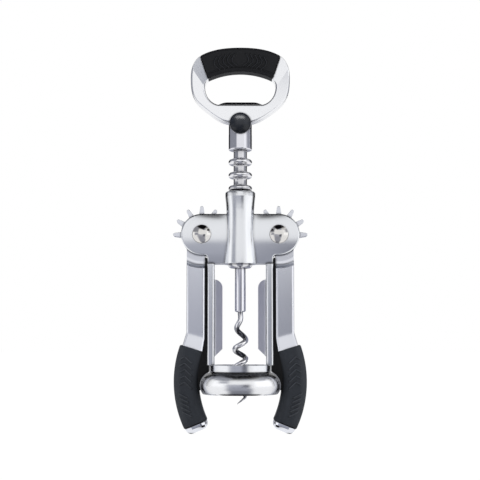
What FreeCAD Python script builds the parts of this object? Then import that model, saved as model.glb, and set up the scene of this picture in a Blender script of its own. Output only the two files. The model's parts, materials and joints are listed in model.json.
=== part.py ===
# Wing corkscrew, in millimetres. Origin: centre of the bell's rim plane. +Z runs up the worm's axis,
# the levers swing in the XZ plane and -Y is the front.
import FreeCAD, Part
import math
import os

os.makedirs("parts", exist_ok=True)

Vec = FreeCAD.Vector
ORIGIN = Vec(0, 0, 0)
X_AXIS = Vec(1, 0, 0)
Y_AXIS = Vec(0, 1, 0)
Z_AXIS = Vec(0, 0, 1)
FULL_TURN = 360.0
HALF_TURN = 180.0
BEND_MIDDLE = math.sqrt(0.5)    # how far out and up the middle of a quarter bend lies
SAME = 1e-3

# Clearances
running_clearance = 0.05        # radial, between a turning or sliding shaft and its hole
axial_clearance = 0.05          # along an axle, at each thrust face
lever_gap = 0.35                # between a closed lever's rubber and the collar and bell beside it
post_gap = 0.2                  # between a closed lever's rubber and the flat side of the post
sweep_clearance = 0.8           # around the circle that the tooth tips sweep
overcut = 1.0                   # how far a cutting tool runs past the face that it cuts

# Bell and collar, which sit on the bottle
bell_radius = 19.2
bell_height = 10.1
bell_wall = 4.0
bell_rim_width = 2.5
bell_rim_bevel = 0.3
bell_widest_z = 4.1
bell_heel_width = 0.5
bell_heel_height = 0.6
bell_shoulder_width = 0.3
lip_seat_depth = 6.3
cork_hole_radius = 12.5
neck_wall = 1.9
neck_height = 0.5
collar_wall = 2.5
collar_height = 3.1
seat_lead_in = 0.3

# Cork cage: two posts, and curved rear wings that guide the cork
cage_height = 47.9
post_thickness = 3.4
post_half_depth = 5.2
post_round = 1.1
post_inner_x = 12.3
wing_wall = 1.9
wing_edge_x = 8.7
wing_start_angle = 8.0
wing_top_drop = 7.1
wing_bottom_rise = 3.3
wing_top_round = 3.6
wing_bottom_slope = 4.2

# Head: two crowned plates that carry the lever pivots
pivot_rise = 14.1
pivot_offset = 18.4
plate_end_radius = 9.85
plate_crown = 2.9
plate_crown_drop = 1.6
plate_edge_round = 0.7
plate_corner_round = 1.5
head_floor = 2.4
spot_face_depth = 0.15
spot_face_margin = 0.15

# Tower: the upright barrel that guides the rack
tower_rise = 10.7
tower_lip_radius = 7.3
tower_waist_radius = 6.65
tower_foot_radius = 7.7
tower_half_flat = 2.2
tower_lip_height = 2.6
tower_lip_round = 0.9
tower_waist_rise = 8.8
tower_flare_share = 0.68    # of the way from the waist out to the foot, half way down the plates
bore_bevel = 0.5
window_rise = 6.2
window_sill = 4.6

# Rack: rings on a sleeve that slides in the tower
ring_pitch = 6.4
ring_radius = 5.8
ring_thickness = 3.1
rack_core_radius = 3.3
rings_above_pivot = 6
rings_below_pivot = 1
rack_neck_height = 5.6
guide_collar_height = 3.4
guide_collar_drop = 2.0
guide_collar_round = 1.8

# Levers
teeth_per_turn = 12
tooth_count = 7
tooth_addendum = 1.5
tooth_root_half_width = 1.5
tooth_tip_half_width = 0.8
hub_radius = 9.4
hub_half_thickness = 2.3
washer_radius = 6.4
washer_thickness = 0.3
pivot_pin_radius = 2.5
rivet_head_radius = 4.4
rivet_head_height = 1.7
arm_width = 8.8
arm_half_depth = 5.6
arm_round = 1.3
cove_start_radius = 12.5
cove_width = 3.8
knee_outer_z = 29.0
knee_inner_drop = 2.8
knee_inset = 1.2               # the arm's metal stands back this far from the rubber's edge

# Lever grips: rubber over the lower end of each arm
grip_half_depth = 7.0
grip_round = 3.6
grip_width = 11.7
grip_top_outer_x = 28.4
grip_top_outer_z = 23.4
grip_top_inner_x = 17.7
grip_top_inner_z = 20.0
grip_middle_z = 6.0
grip_end_outer_x = 26.2
grip_end_outer_z = -16.4
grip_end_inner_x = 15.5
grip_end_inner_z = -12.0
grip_stations = 7
grip_wall = 2.0
bell_side_gap = 0.5
flank_half_depth = 4.6
flank_bottom_z = 1.6
strip_thickness = 0.8
strip_top_drop = 11.2
tip_length = 3.2
tip_inset = 0.35
tip_shrink = 2.5
tip_stations = 4

# Spindle, which turns inside the rack and carries the worm
shaft_radius = 2.6
shank_length = 20.8
shank_end_bevel = 0.5
head_radius = 5.75
head_height = 12.5
head_round = 0.8
lug_radius = 5.2
lug_face_y = 5.9
tang_half_thickness = 1.4
tang_radius = 5.0
tang_clearance = 0.1
cross_pin_radius = 1.5
cap_radius = 5.1
cap_rim = 0.5
cap_height = 2.3
retainer_thickness = 0.8
retainer_radius = 3.3
retainer_groove_depth = 0.5
retainer_recess = 1.8

# Worm: right-handed open helix, ground to a point
worm_wire_radius = 1.25
worm_helix_radius = 2.6
worm_pitch = 8.9
worm_lead_pitch = 12.6
worm_root_length = 11.0
worm_lead_length = 12.3
worm_tip_z = -4.9
worm_point_length = 11.0
worm_point_radius = 0.15
worm_point_pull = 0.9
worm_first_turn_z = 25.5
worm_stations_per_turn = 9

# Ring handle: a D-shaped loop with a rubber arch on top
loop_half_width = 23.95
loop_height = 37.6
loop_half_depth = 3.9
loop_round = 1.1
loop_foot_rise = 0.8
# Half of the loop's outline from foot to crown, as shares of its half width and height
loop_shape = [(0.24, 0.022), (0.66, 0.163), (0.94, 0.348), (1.0, 0.57),
              (0.97, 0.75), (0.835, 0.882), (0.65, 0.94), (0.42, 0.979)]
hole_rise = 9.6
hole_flat_half_width = 10.9
hole_half_width = 17.0
hole_height = 16.2
# Half of the hole's outline above its flat, as shares of its half width and height
hole_shape = [(0.87, 0.15), (1.0, 0.47), (0.97, 0.70), (0.84, 0.825), (0.43, 0.955)]
arch_half_depth = 4.6
arch_round = 1.6
arch_foot_x = 15.0
arch_foot_rise = 20.9
arch_lean = 5.6
# Facets that thin the metal towards the rubber, each through two points on the face and one below it
facet_outer_x = 22.9
facet_outer_rise = 26.5
facet_inner_x = 19.0
facet_inner_rise = 20.7
facet_end_x = 17.5
facet_end_rise = 28.9
facet_depth = 1.2
facet_low_rise = 17.0
core_inset = 3.0
core_half_depth = 2.4
core_half_length = 19.5
core_top_sag = 4.4
core_low_sag = 3.4
opener_lip_height = 1.6
opener_lip_half_width = 6.3
opener_lip_slope = 5.2
opener_half_thickness = 1.1
opener_root = 2.6

# Worked out from the sizes above
bell_bore_radius = bell_radius - bell_wall
neck_top_z = bell_height + neck_height
collar_top_z = neck_top_z + collar_height
neck_radius = cork_hole_radius + neck_wall
collar_radius = cork_hole_radius + collar_wall
plate_bottom_z = collar_top_z + cage_height
pivot_z = plate_bottom_z + pivot_rise
plate_top_z = pivot_z + plate_end_radius
tower_top_z = plate_top_z + tower_rise
post_outer_x = post_inner_x + post_thickness
plate_inner_y = hub_half_thickness + washer_thickness + axial_clearance
plate_face_y = plate_inner_y + plate_crown
spot_face_y = plate_face_y - spot_face_depth
pitch_radius = ring_pitch * teeth_per_turn / (2 * math.pi)
tooth_tip_radius = pitch_radius + tooth_addendum
sweep_radius = tooth_tip_radius + sweep_clearance
bore_radius = ring_radius + running_clearance
top_ring_z = pivot_z + (rings_above_pivot - 0.5) * ring_pitch
rack_top_z = top_ring_z + rack_neck_height
rack_bottom_z = plate_bottom_z - guide_collar_drop
head_bottom_z = rack_top_z + axial_clearance
eye_z = head_bottom_z + head_height
shank_end_z = rack_bottom_z - shank_length
loop_top_z = eye_z + loop_height
hole_bottom_z = eye_z + hole_rise
hole_top_z = hole_bottom_z + hole_height
grip_inner_x = bell_radius + bell_side_gap
strip_inner_x = post_outer_x + post_gap
arm_inner_x = strip_inner_x + strip_thickness
arm_outer_x = arm_inner_x + arm_width


def box(x0, x1, y0, y1, z0, z1):
    return Part.makeBox(x1 - x0, y1 - y0, z1 - z0, Vec(x0, y0, z0))


def upright_cylinder(radius, z0, z1):
    return Part.makeCylinder(radius, z1 - z0, Vec(0, 0, z0), Z_AXIS)


def cross_cylinder(radius, y0, y1, x, z):
    return Part.makeCylinder(radius, y1 - y0, Vec(x, y0, z), Y_AXIS)


def line(a, b):
    return Part.LineSegment(a, b).toShape()


def arc(a, b, c):
    return Part.Arc(a, b, c).toShape()


def spline(points, closed=False):
    curve = Part.BSplineCurve()
    curve.interpolate(Points=points, PeriodicFlag=closed)
    return curve.toShape()


def polygon(points):
    return Part.makePolygon(points + [points[0]])


def prism(wire, y0, y1):
    # A wire drawn in the XZ plane, carried from y0 to y1.
    face = Part.Face(wire)
    face.translate(Vec(0, y0, 0))
    return face.extrude(Vec(0, y1 - y0, 0))


def turned(edges, centre=ORIGIN, axis=Z_AXIS):
    # Edges that close on the axis or on themselves, turned right round it.
    return Part.Face(Part.Wire(edges)).revolve(centre, axis, FULL_TURN)


def dome_edge(radius, base_y, height):
    # Arc in the XY plane from a dome's rim to its top on the Y axis.
    sphere = (radius ** 2 + height ** 2) / (2 * height)
    half_angle = math.asin(radius / sphere) / 2
    middle = Vec(sphere * math.sin(half_angle), base_y + height - sphere * (1 - math.cos(half_angle)), 0)
    return arc(Vec(radius, base_y, 0), middle, Vec(0, base_y + height, 0))


def mirror_x(shape):
    return shape.mirror(ORIGIN, X_AXIS)


def mirror_y(shape):
    return shape.mirror(ORIGIN, Y_AXIS)


def both_sides(shape):
    return [shape, mirror_x(shape)]


def save(shape, node):
    shape.removeSplitter().exportStep("parts/" + node + ".step")


def side_edges(solid, direction):
    # Straight edges that run along one direction.
    found = []
    for edge in solid.Edges:
        if isinstance(edge.Curve, Part.Line):
            if abs(edge.tangentAt(edge.FirstParameter).dot(direction)) > 1 - SAME:
                found.append(edge)
    return found


def edges_on_plane(solid, axis, level):
    # Edges that lie wholly in the plane at one level along an axis.
    found = []
    for edge in solid.Edges:
        low = edge.BoundBox.getPoint(0).dot(axis)
        high = edge.BoundBox.getPoint(6).dot(axis)
        if abs(low - level) < SAME and abs(high - level) < SAME:
            found.append(edge)
    return found


def bell_bend(edge_radius, edge_z, offset):
    # Arc of the bell's side, upright at its widest line and ending at a given edge, moved outward.
    across = bell_radius - edge_radius
    along = edge_z - bell_widest_z
    bend = (across ** 2 + along ** 2) / (2 * across)
    centre = Vec(bell_radius - bend, 0, bell_widest_z)
    end_angle = math.asin(along / bend)
    points = []
    for angle in (0, end_angle / 2, end_angle):
        points.append(centre + Vec(math.cos(angle), 0, math.sin(angle)) * (bend + offset))
    return points


def bell_shoulder(offset):
    # Bend from the bell's widest line up to its shoulder.
    return bell_bend(bell_bore_radius + bell_shoulder_width, bell_height, offset)


def bell_ring():
    # A bulging ring, pressed on the spigot of the body casting.
    rim_outer = bell_bore_radius + bell_rim_width
    bore_foot = Vec(bell_bore_radius, 0, bell_rim_bevel)
    rim_inside = Vec(bell_bore_radius + bell_rim_bevel, 0, 0)
    rim_outside = Vec(rim_outer, 0, 0)
    widest, shoulder_middle, shoulder_edge = bell_shoulder(0)
    bore_top = Vec(bell_bore_radius, 0, bell_height)
    _, foot_middle, heel = bell_bend(rim_outer + bell_heel_width, bell_heel_height, 0)
    return turned([
        line(bore_foot, rim_inside),
        line(rim_inside, rim_outside),
        line(rim_outside, heel),
        arc(heel, foot_middle, widest),
        arc(widest, shoulder_middle, shoulder_edge),
        line(shoulder_edge, bore_top),
        line(bore_top, bore_foot),
    ])


def collar():
    # Spigot inside the bell, narrow neck, and the collar that the posts stand on.
    seat = Vec(cork_hole_radius, 0, lip_seat_depth)
    seat_edge = Vec(bell_bore_radius - seat_lead_in, 0, lip_seat_depth)
    spigot_edge = Vec(bell_bore_radius, 0, lip_seat_depth + seat_lead_in)
    spigot_top = Vec(bell_bore_radius, 0, bell_height)
    neck_foot = Vec(neck_radius, 0, bell_height)
    neck_top = Vec(neck_radius, 0, neck_top_z)
    collar_foot = Vec(collar_radius, 0, neck_top_z)
    collar_edge = Vec(collar_radius, 0, collar_top_z)
    collar_inside = Vec(cork_hole_radius, 0, collar_top_z)
    corners = [seat, seat_edge, spigot_edge, spigot_top, neck_foot, neck_top,
               collar_foot, collar_edge, collar_inside]
    return Part.Face(polygon(corners)).revolve(ORIGIN, Z_AXIS, FULL_TURN)


def post():
    # Right post: rounded bar from the collar up into the head plates.
    bar = box(post_inner_x, post_outer_x, -post_half_depth, post_half_depth, collar_top_z, plate_bottom_z)
    return bar.makeFillet(post_round, side_edges(bar, Z_AXIS))


def wing():
    # Right rear wing: a curved wall around the cork, from the post towards the back.
    z0 = collar_top_z + wing_bottom_rise
    z1 = plate_bottom_z - wing_top_drop
    inner = post_inner_x
    outer = inner + wing_wall
    shell = upright_cylinder(outer, z0, z1).cut(upright_cylinder(inner, z0, z1))
    start = inner * math.sin(math.radians(wing_start_angle))
    wall = shell.common(box(wing_edge_x, outer, start, outer, z0, z1))
    # The free edge is rounded at the top and cut back on a slope at the bottom.
    x0 = wing_edge_x
    round_centre = Vec(x0 + wing_top_round, 0, z1 - wing_top_round)
    round_middle = round_centre + Vec(-1, 0, 1).normalize() * wing_top_round
    outline = Part.Wire([
        line(Vec(x0, 0, z0 + wing_bottom_slope), Vec(x0, 0, z1 - wing_top_round)),
        arc(Vec(x0, 0, z1 - wing_top_round), round_middle, Vec(x0 + wing_top_round, 0, z1)),
        line(Vec(x0 + wing_top_round, 0, z1), Vec(outer, 0, z1)),
        line(Vec(outer, 0, z1), Vec(outer, 0, z0)),
        line(Vec(outer, 0, z0), Vec(x0 + wing_bottom_slope, 0, z0)),
        line(Vec(x0 + wing_bottom_slope, 0, z0), Vec(x0, 0, z0 + wing_bottom_slope)),
    ])
    return wall.common(prism(outline, 0, outer))


def plate_outline():
    # Capsule round both pivots, carried down to the posts in the middle.
    end = cross_cylinder(plate_end_radius, 0, plate_crown, pivot_offset, pivot_z)
    bridge = box(-pivot_offset, pivot_offset, 0, plate_crown, pivot_z - plate_end_radius, plate_top_z)
    apron = box(-post_outer_x, post_outer_x, 0, plate_crown, plate_bottom_z, pivot_z)
    outline = bridge.multiFuse(both_sides(end) + [apron]).removeSplitter()
    # The inside corners, where the ends meet the posts, are filled with a bend.
    lowest = plate_bottom_z + SAME
    corners = [edge for edge in side_edges(outline, Y_AXIS) if lowest < edge.CenterOfMass.z < pivot_z]
    return outline.makeFillet(plate_corner_round, corners)


def outer_rim(plate):
    # Edges round the crowned face of the front plate.
    rim = []
    for edge in plate.Edges:
        middle = edge.valueAt((edge.FirstParameter + edge.LastParameter) / 2)
        across = abs(edge.tangentAt(edge.FirstParameter).dot(Y_AXIS)) > 1 - SAME
        if middle.y < -plate_inner_y - SAME and not across:
            rim.append(edge)
    return rim


def head_plate():
    # Front plate, crowned like a shallow barrel that lies along X.
    plate = plate_outline()
    plate.translate(Vec(0, -plate_face_y, 0))
    half_height = (plate_top_z - plate_bottom_z) / 2
    crown_radius = (half_height ** 2 + plate_crown_drop ** 2) / (2 * plate_crown_drop)
    middle_z = plate_bottom_z + half_height
    length = 4 * pivot_offset
    start = Vec(-length / 2, crown_radius - plate_face_y, middle_z)
    crown = Part.makeCylinder(crown_radius, length, start, X_AXIS)
    plate = plate.common(crown)
    return plate.makeFillet(plate_edge_round, outer_rim(plate))


def tower_profile(foot_z):
    # Half of the tower's outline: wide foot, waist, and a rounded lip at the top.
    lip_z = tower_top_z - tower_lip_height
    waist_z = pivot_z + tower_waist_rise
    flare_z = (pivot_z + plate_bottom_z) / 2
    flare_radius = tower_waist_radius + tower_flare_share * (tower_foot_radius - tower_waist_radius)
    side = [
        Vec(tower_foot_radius, 0, foot_z),
        Vec(flare_radius, 0, flare_z),
        Vec(tower_waist_radius, 0, waist_z),
        Vec(tower_lip_radius, 0, lip_z),
        Vec(tower_lip_radius, 0, tower_top_z - tower_lip_round),
    ]
    from_corner = tower_lip_round * (1 - BEND_MIDDLE)
    round_middle = Vec(tower_lip_radius - from_corner, 0, tower_top_z - from_corner)
    round_end = Vec(tower_lip_radius - tower_lip_round, 0, tower_top_z)
    return [
        line(Vec(0, 0, foot_z), side[0]),
        spline(side[:4]),
        line(side[3], side[4]),
        arc(side[4], round_middle, round_end),
        line(round_end, Vec(0, 0, tower_top_z)),
        line(Vec(0, 0, tower_top_z), Vec(0, 0, foot_z)),
    ]


def tower():
    # Two turned halves, front and rear, with a flat-sided middle between them.
    outline = Part.Wire(tower_profile(plate_bottom_z))
    middle = prism(outline, -tower_half_flat, tower_half_flat)
    halves = []
    for side in (-1, 1):
        half = Part.Face(outline).revolve(ORIGIN, Z_AXIS, FULL_TURN)
        half.translate(Vec(0, side * tower_half_flat, 0))
        halves.append(half)
    return middle.multiFuse(halves + [mirror_x(middle)])


def tower_bore():
    # The rack's bore, bevelled at its mouth.
    bore = upright_cylinder(bore_radius, plate_bottom_z - overcut, tower_top_z + overcut)
    mouth = Part.makeCone(bore_radius, bore_radius + bore_bevel, bore_bevel,
                          Vec(0, 0, tower_top_z - bore_bevel), Z_AXIS)
    return bore.fuse(mouth)


def tower_windows():
    # Slots through both side walls, where the lever teeth reach the rack.
    top = plate_top_z + window_rise
    sill = plate_bottom_z + window_sill
    reach = 2 * tower_foot_radius
    slot = box(-reach, reach, -plate_inner_y, plate_inner_y, sill, top - plate_inner_y)
    arch_end = Part.makeCylinder(plate_inner_y, 2 * reach, Vec(-reach, 0, top - plate_inner_y), X_AXIS)
    return slot.fuse(arch_end)


def body_casting():
    # One casting: collar, posts, wings, head plates and tower.
    front = head_plate()
    half_floor = post_outer_x
    floor = box(-half_floor, half_floor, -plate_inner_y, plate_inner_y, plate_bottom_z,
                plate_bottom_z + head_floor)
    solids = [front, mirror_y(front), floor, tower()] + both_sides(post()) + both_sides(wing())
    casting = collar().multiFuse(solids)
    cuts = [tower_bore(), tower_windows()]
    for side in (-1, 1):
        x = side * pivot_offset
        cuts.append(cross_cylinder(sweep_radius, -plate_inner_y, plate_inner_y, x, pivot_z))
        cuts.append(cross_cylinder(pivot_pin_radius, -2 * plate_face_y, 2 * plate_face_y, x, pivot_z))
        spot = rivet_head_radius + spot_face_margin
        cuts.append(cross_cylinder(spot, spot_face_y, 2 * plate_face_y, x, pivot_z))
        cuts.append(cross_cylinder(spot, -2 * plate_face_y, -spot_face_y, x, pivot_z))
    return casting.cut(Part.makeCompound(cuts)).removeSplitter()


def pivot_rivet(x):
    # Shank through both plates, with a domed head on each.
    shank_edge = Vec(pivot_pin_radius, spot_face_y, 0)
    head_edge = Vec(rivet_head_radius, spot_face_y, 0)
    half = turned([
        line(ORIGIN, Vec(pivot_pin_radius, 0, 0)),
        line(Vec(pivot_pin_radius, 0, 0), shank_edge),
        line(shank_edge, head_edge),
        dome_edge(rivet_head_radius, spot_face_y, rivet_head_height),
        line(Vec(0, spot_face_y + rivet_head_height, 0), ORIGIN),
    ], ORIGIN, Y_AXIS)
    rivet = half.fuse(mirror_y(half)).removeSplitter()
    rivet.translate(Vec(x, 0, pivot_z))
    return rivet


def rack_ring(z):
    # A bead whose outer edge is a half round.
    half = ring_thickness / 2
    edge = ring_radius - half
    return turned([
        line(Vec(0, 0, z - half), Vec(edge, 0, z - half)),
        arc(Vec(edge, 0, z - half), Vec(ring_radius, 0, z), Vec(edge, 0, z + half)),
        line(Vec(edge, 0, z + half), Vec(0, 0, z + half)),
        line(Vec(0, 0, z + half), Vec(0, 0, z - half)),
    ])


def guide_collar():
    # Plain collar at the rack's lower end, rounded underneath, which runs in the tower.
    top = rack_bottom_z + guide_collar_height
    round_edge = ring_radius - guide_collar_round
    from_corner = guide_collar_round * (1 - BEND_MIDDLE)
    return turned([
        line(Vec(0, 0, rack_bottom_z), Vec(round_edge, 0, rack_bottom_z)),
        arc(Vec(round_edge, 0, rack_bottom_z), Vec(ring_radius - from_corner, 0, rack_bottom_z + from_corner),
            Vec(ring_radius, 0, rack_bottom_z + guide_collar_round)),
        line(Vec(ring_radius, 0, rack_bottom_z + guide_collar_round), Vec(ring_radius, 0, top)),
        line(Vec(ring_radius, 0, top), Vec(0, 0, top)),
        line(Vec(0, 0, top), Vec(0, 0, rack_bottom_z)),
    ])


def rack_sleeve():
    # Core, rings and guide collar in one piece, bored for the spindle.
    sleeve = upright_cylinder(rack_core_radius, rack_bottom_z, rack_top_z)
    beads = [rack_ring(pivot_z + (step + 0.5) * ring_pitch)
             for step in range(-rings_below_pivot, rings_above_pivot)]
    sleeve = sleeve.multiFuse(beads + [guide_collar()])
    bore = upright_cylinder(shaft_radius + running_clearance, rack_bottom_z - overcut, rack_top_z + overcut)
    recess = upright_cylinder(retainer_radius + running_clearance, rack_bottom_z - overcut,
                              rack_bottom_z + retainer_recess)
    return sleeve.cut(bore.fuse(recess))


def retainer_levels():
    top = rack_bottom_z + retainer_recess - axial_clearance
    return top - retainer_thickness, top


def spindle_shaft():
    # Head with a clevis for the ring handle, and the shaft down to the worm.
    head = upright_cylinder(head_radius, head_bottom_z, eye_z)
    head = head.makeFillet(head_round, edges_on_plane(head, Z_AXIS, head_bottom_z))
    lugs = cross_cylinder(lug_radius, -lug_face_y, lug_face_y, 0, eye_z)
    shaft = upright_cylinder(shaft_radius, shank_end_z, head_bottom_z + overcut)
    shaft = shaft.makeChamfer(shank_end_bevel, edges_on_plane(shaft, Z_AXIS, shank_end_z))
    slot_half = tang_half_thickness + tang_clearance
    slot_floor = eye_z - tang_radius - tang_clearance
    slot = box(-2 * head_radius, 2 * head_radius, -slot_half, slot_half, slot_floor, loop_top_z)
    eye = cross_cylinder(cross_pin_radius, -2 * lug_face_y, 2 * lug_face_y, 0, eye_z)
    socket = upright_cylinder(worm_wire_radius, shank_end_z - overcut, shank_end_z + worm_root_length)
    low, high = retainer_levels()
    groove = upright_cylinder(2 * shaft_radius, low, high)
    groove = groove.cut(upright_cylinder(shaft_radius - retainer_groove_depth, low, high))
    return head.multiFuse([lugs, shaft]).cut(Part.makeCompound([slot, eye])).cut(socket).cut(groove)


def retaining_ring():
    # Snap ring in the shaft's groove, under the rack's recess.
    low, high = retainer_levels()
    ring = upright_cylinder(retainer_radius, low, high)
    return ring.cut(upright_cylinder(shaft_radius - retainer_groove_depth, low, high))


def worm_centre(z):
    # The wire leaves the shank on the axis and swings out to the helix over the lead length, with a
    # longer pitch above the first full turn; near the point it is drawn back towards the axis.
    out = min((shank_end_z - z) / worm_lead_length, 1.0)
    back = max((worm_tip_z + worm_pitch - z) / worm_pitch, 0.0)
    swing = out * out * (3 - 2 * out)
    radius = worm_helix_radius * swing - worm_point_pull * back * back
    rise = z - worm_first_turn_z
    pitch = worm_lead_pitch if rise > 0 else worm_pitch
    angle = 2 * math.pi * rise / pitch
    return Vec(radius * math.cos(angle), radius * math.sin(angle), z)


def wire_section(path, position, radius):
    return Part.Wire(Part.makeCircle(radius, path.value(position), path.tangent(position)[0]))


def worm():
    # Round wire along the helix, tapered over its last stretch, with a straight root in the spindle.
    drop = shank_end_z - worm_tip_z
    steps = int(worm_stations_per_turn * drop / worm_pitch)
    path = Part.BSplineCurve()
    centres = [worm_centre(shank_end_z - drop * step / steps) for step in range(steps + 1)]
    # The wire leaves the straight root in line with it.
    path.interpolate(Points=centres, InitialTangent=Z_AXIS * -1, FinalTangent=centres[-1] - centres[-2])
    start = path.FirstParameter
    end = path.LastParameter
    split = path.parameterAtDistance(path.length() - worm_point_length, start)
    full = path.copy()
    full.segment(start, split)
    point = path.copy()
    point.segment(split, end)
    coil = Part.Wire(full.toShape()).makePipeShell([wire_section(path, start, worm_wire_radius)], True, True)
    ends = [wire_section(path, split, worm_wire_radius), wire_section(path, end, worm_point_radius)]
    taper = Part.Wire(point.toShape()).makePipeShell(ends, True, True)
    root = upright_cylinder(worm_wire_radius, shank_end_z, shank_end_z + worm_root_length)
    return coil.multiFuse([taper, root])


def cross_pin():
    return cross_cylinder(cross_pin_radius, -lug_face_y, lug_face_y, 0, eye_z)


def button_cap():
    # Front cap: a low dome that covers the end of the cross pin.
    rim_y = lug_face_y + cap_rim
    dome_top = Vec(0, lug_face_y + cap_height, 0)
    cap = turned([
        line(Vec(0, lug_face_y, 0), Vec(cap_radius, lug_face_y, 0)),
        line(Vec(cap_radius, lug_face_y, 0), Vec(cap_radius, rim_y, 0)),
        dome_edge(cap_radius, rim_y, cap_height - cap_rim),
        line(dome_top, Vec(0, lug_face_y, 0)),
    ], ORIGIN, Y_AXIS)
    cap.translate(Vec(0, 0, eye_z))
    return mirror_y(cap)


def mirrored_points(half):
    right = [Vec(x, 0, z) for x, z in half]
    left = [Vec(-x, 0, z) for x, z in reversed(half)]
    return right, left


def loop_outline():
    # Closed curve through half of the D and its mirror image.
    half = [(x * loop_half_width, eye_z + z * loop_height) for x, z in loop_shape]
    right, left = mirrored_points(half)
    points = [Vec(0, 0, eye_z + loop_foot_rise)] + right + [Vec(0, 0, loop_top_z)] + left
    return Part.Wire(spline(points, True))


def hole_outline():
    # Finger hole: flat at the bottom for the bottle cap, arched at the top.
    half = [(hole_flat_half_width, hole_bottom_z)]
    half += [(x * hole_half_width, hole_bottom_z + z * hole_height) for x, z in hole_shape]
    right, left = mirrored_points(half)
    curve = spline(right + [Vec(0, 0, hole_top_z)] + left)
    return Part.Wire([line(left[-1], right[0]), curve])


def arch_zone():
    # The part of the loop that the rubber covers, between two leaning end lines.
    foot_z = eye_z + arch_foot_rise
    head_z = loop_top_z + overcut
    head_x = arch_foot_x + arch_lean
    deep = 2 * arch_half_depth
    corners = [Vec(-arch_foot_x, 0, foot_z), Vec(arch_foot_x, 0, foot_z), Vec(head_x, 0, head_z),
               Vec(-head_x, 0, head_z)]
    return prism(polygon(corners), -deep, deep)


def arch_core():
    # Metal band inside the rubber, rooted in both shoulders of the loop.
    top_z = loop_top_z - core_inset
    low_z = hole_top_z + core_inset
    reach = core_half_length
    top_left = Vec(-reach, 0, top_z - core_top_sag)
    top_right = Vec(reach, 0, top_z - core_top_sag)
    low_left = Vec(-reach, 0, low_z - core_low_sag)
    low_right = Vec(reach, 0, low_z - core_low_sag)
    outline = Part.Wire([
        arc(top_left, Vec(0, 0, top_z), top_right),
        line(top_right, low_right),
        arc(low_right, Vec(0, 0, low_z), low_left),
        line(low_left, top_left),
    ])
    return prism(outline, -core_half_depth, core_half_depth)


def loop_blank(half_depth, edge_round):
    blank = prism(loop_outline(), -half_depth, half_depth)
    blank = blank.cut(prism(hole_outline(), -2 * half_depth, 2 * half_depth))
    rims = edges_on_plane(blank, Y_AXIS, half_depth) + edges_on_plane(blank, Y_AXIS, -half_depth)
    return blank.makeFillet(edge_round, rims)


def shoulder_facet():
    # What stands in front of a slanted plane across the front right shoulder of the loop.
    face_y = -loop_half_depth
    outer = Vec(facet_outer_x, face_y, eye_z + facet_outer_rise)
    inner = Vec(facet_inner_x, face_y, eye_z + facet_inner_rise)
    end = Vec(facet_end_x, face_y + facet_depth, eye_z + facet_end_rise)
    outward = (inner - outer).cross(end - outer).normalize()
    if outward.y > 0:
        outward = outward * -1
    reach = loop_height
    block = box(-reach, reach, -reach, reach, 0, reach)
    block.Placement = FreeCAD.Placement(outer, FreeCAD.Rotation(Z_AXIS, outward))
    low_z = eye_z + facet_low_rise
    shoulder = box(opener_lip_half_width, loop_half_width, -loop_half_depth, 0, low_z, loop_top_z)
    return block.common(shoulder)


def opener_insert():
    # Steel lip that hooks under a bottle cap, set in a slot in the loop's flat edge.
    lip_top = hole_bottom_z + opener_lip_height
    root_z = hole_bottom_z - opener_root
    foot_x = opener_lip_half_width + opener_lip_slope
    outline = polygon([
        Vec(-foot_x, 0, root_z),
        Vec(foot_x, 0, root_z),
        Vec(foot_x, 0, hole_bottom_z),
        Vec(opener_lip_half_width, 0, lip_top),
        Vec(-opener_lip_half_width, 0, lip_top),
        Vec(-foot_x, 0, hole_bottom_z),
    ])
    return prism(outline, -opener_half_thickness, opener_half_thickness)


def ring_handle():
    # Metal loop with its tang, the core under the rubber, and pockets for the clevis lugs.
    metal = loop_blank(loop_half_depth, loop_round).cut(arch_zone())
    for facet in both_sides(shoulder_facet()):
        metal = metal.cut(facet).cut(mirror_y(facet))
    metal = metal.fuse(arch_core())
    tang = cross_cylinder(tang_radius, -tang_half_thickness, tang_half_thickness, 0, eye_z)
    metal = metal.fuse(tang)
    pocket = lug_radius + tang_clearance
    cuts = [
        cross_cylinder(pocket, tang_half_thickness, 2 * loop_half_depth, 0, eye_z),
        cross_cylinder(pocket, -2 * loop_half_depth, -tang_half_thickness, 0, eye_z),
        cross_cylinder(cross_pin_radius, -lug_face_y, lug_face_y, 0, eye_z),
        opener_insert(),
    ]
    # Clear of the flat top of the spindle head, beside the tang.
    for y0, y1 in ((tang_half_thickness, 2 * loop_half_depth), (-2 * loop_half_depth, -tang_half_thickness)):
        cuts.append(box(-head_radius, head_radius, y0, y1, eye_z - head_radius, eye_z + tang_clearance))
    return metal.cut(Part.makeCompound(cuts)).removeSplitter()


def ring_grip():
    # Rubber arch moulded round the core.
    rubber = loop_blank(arch_half_depth, arch_round).common(arch_zone())
    return rubber.cut(arch_core())


def lever_teeth():
    # Right lever: round-ended teeth from the rack side up and over to the outside.
    root = hub_radius - overcut
    tip_centre = tooth_tip_radius - tooth_tip_half_width
    teeth = []
    for index in range(tooth_count):
        outline = Part.Wire([
            line(Vec(root, 0, -tooth_root_half_width), Vec(tip_centre, 0, -tooth_tip_half_width)),
            arc(Vec(tip_centre, 0, -tooth_tip_half_width), Vec(tooth_tip_radius, 0, 0),
                Vec(tip_centre, 0, tooth_tip_half_width)),
            line(Vec(tip_centre, 0, tooth_tip_half_width), Vec(root, 0, tooth_root_half_width)),
            line(Vec(root, 0, tooth_root_half_width), Vec(root, 0, -tooth_root_half_width)),
        ])
        tooth = prism(outline, -hub_half_thickness, hub_half_thickness)
        # The first tooth points at the rack, along -X.
        tooth.rotate(ORIGIN, Y_AXIS, HALF_TURN + index * FULL_TURN / teeth_per_turn)
        tooth.translate(Vec(pivot_offset, 0, pivot_z))
        teeth.append(tooth)
    return teeth


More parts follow.
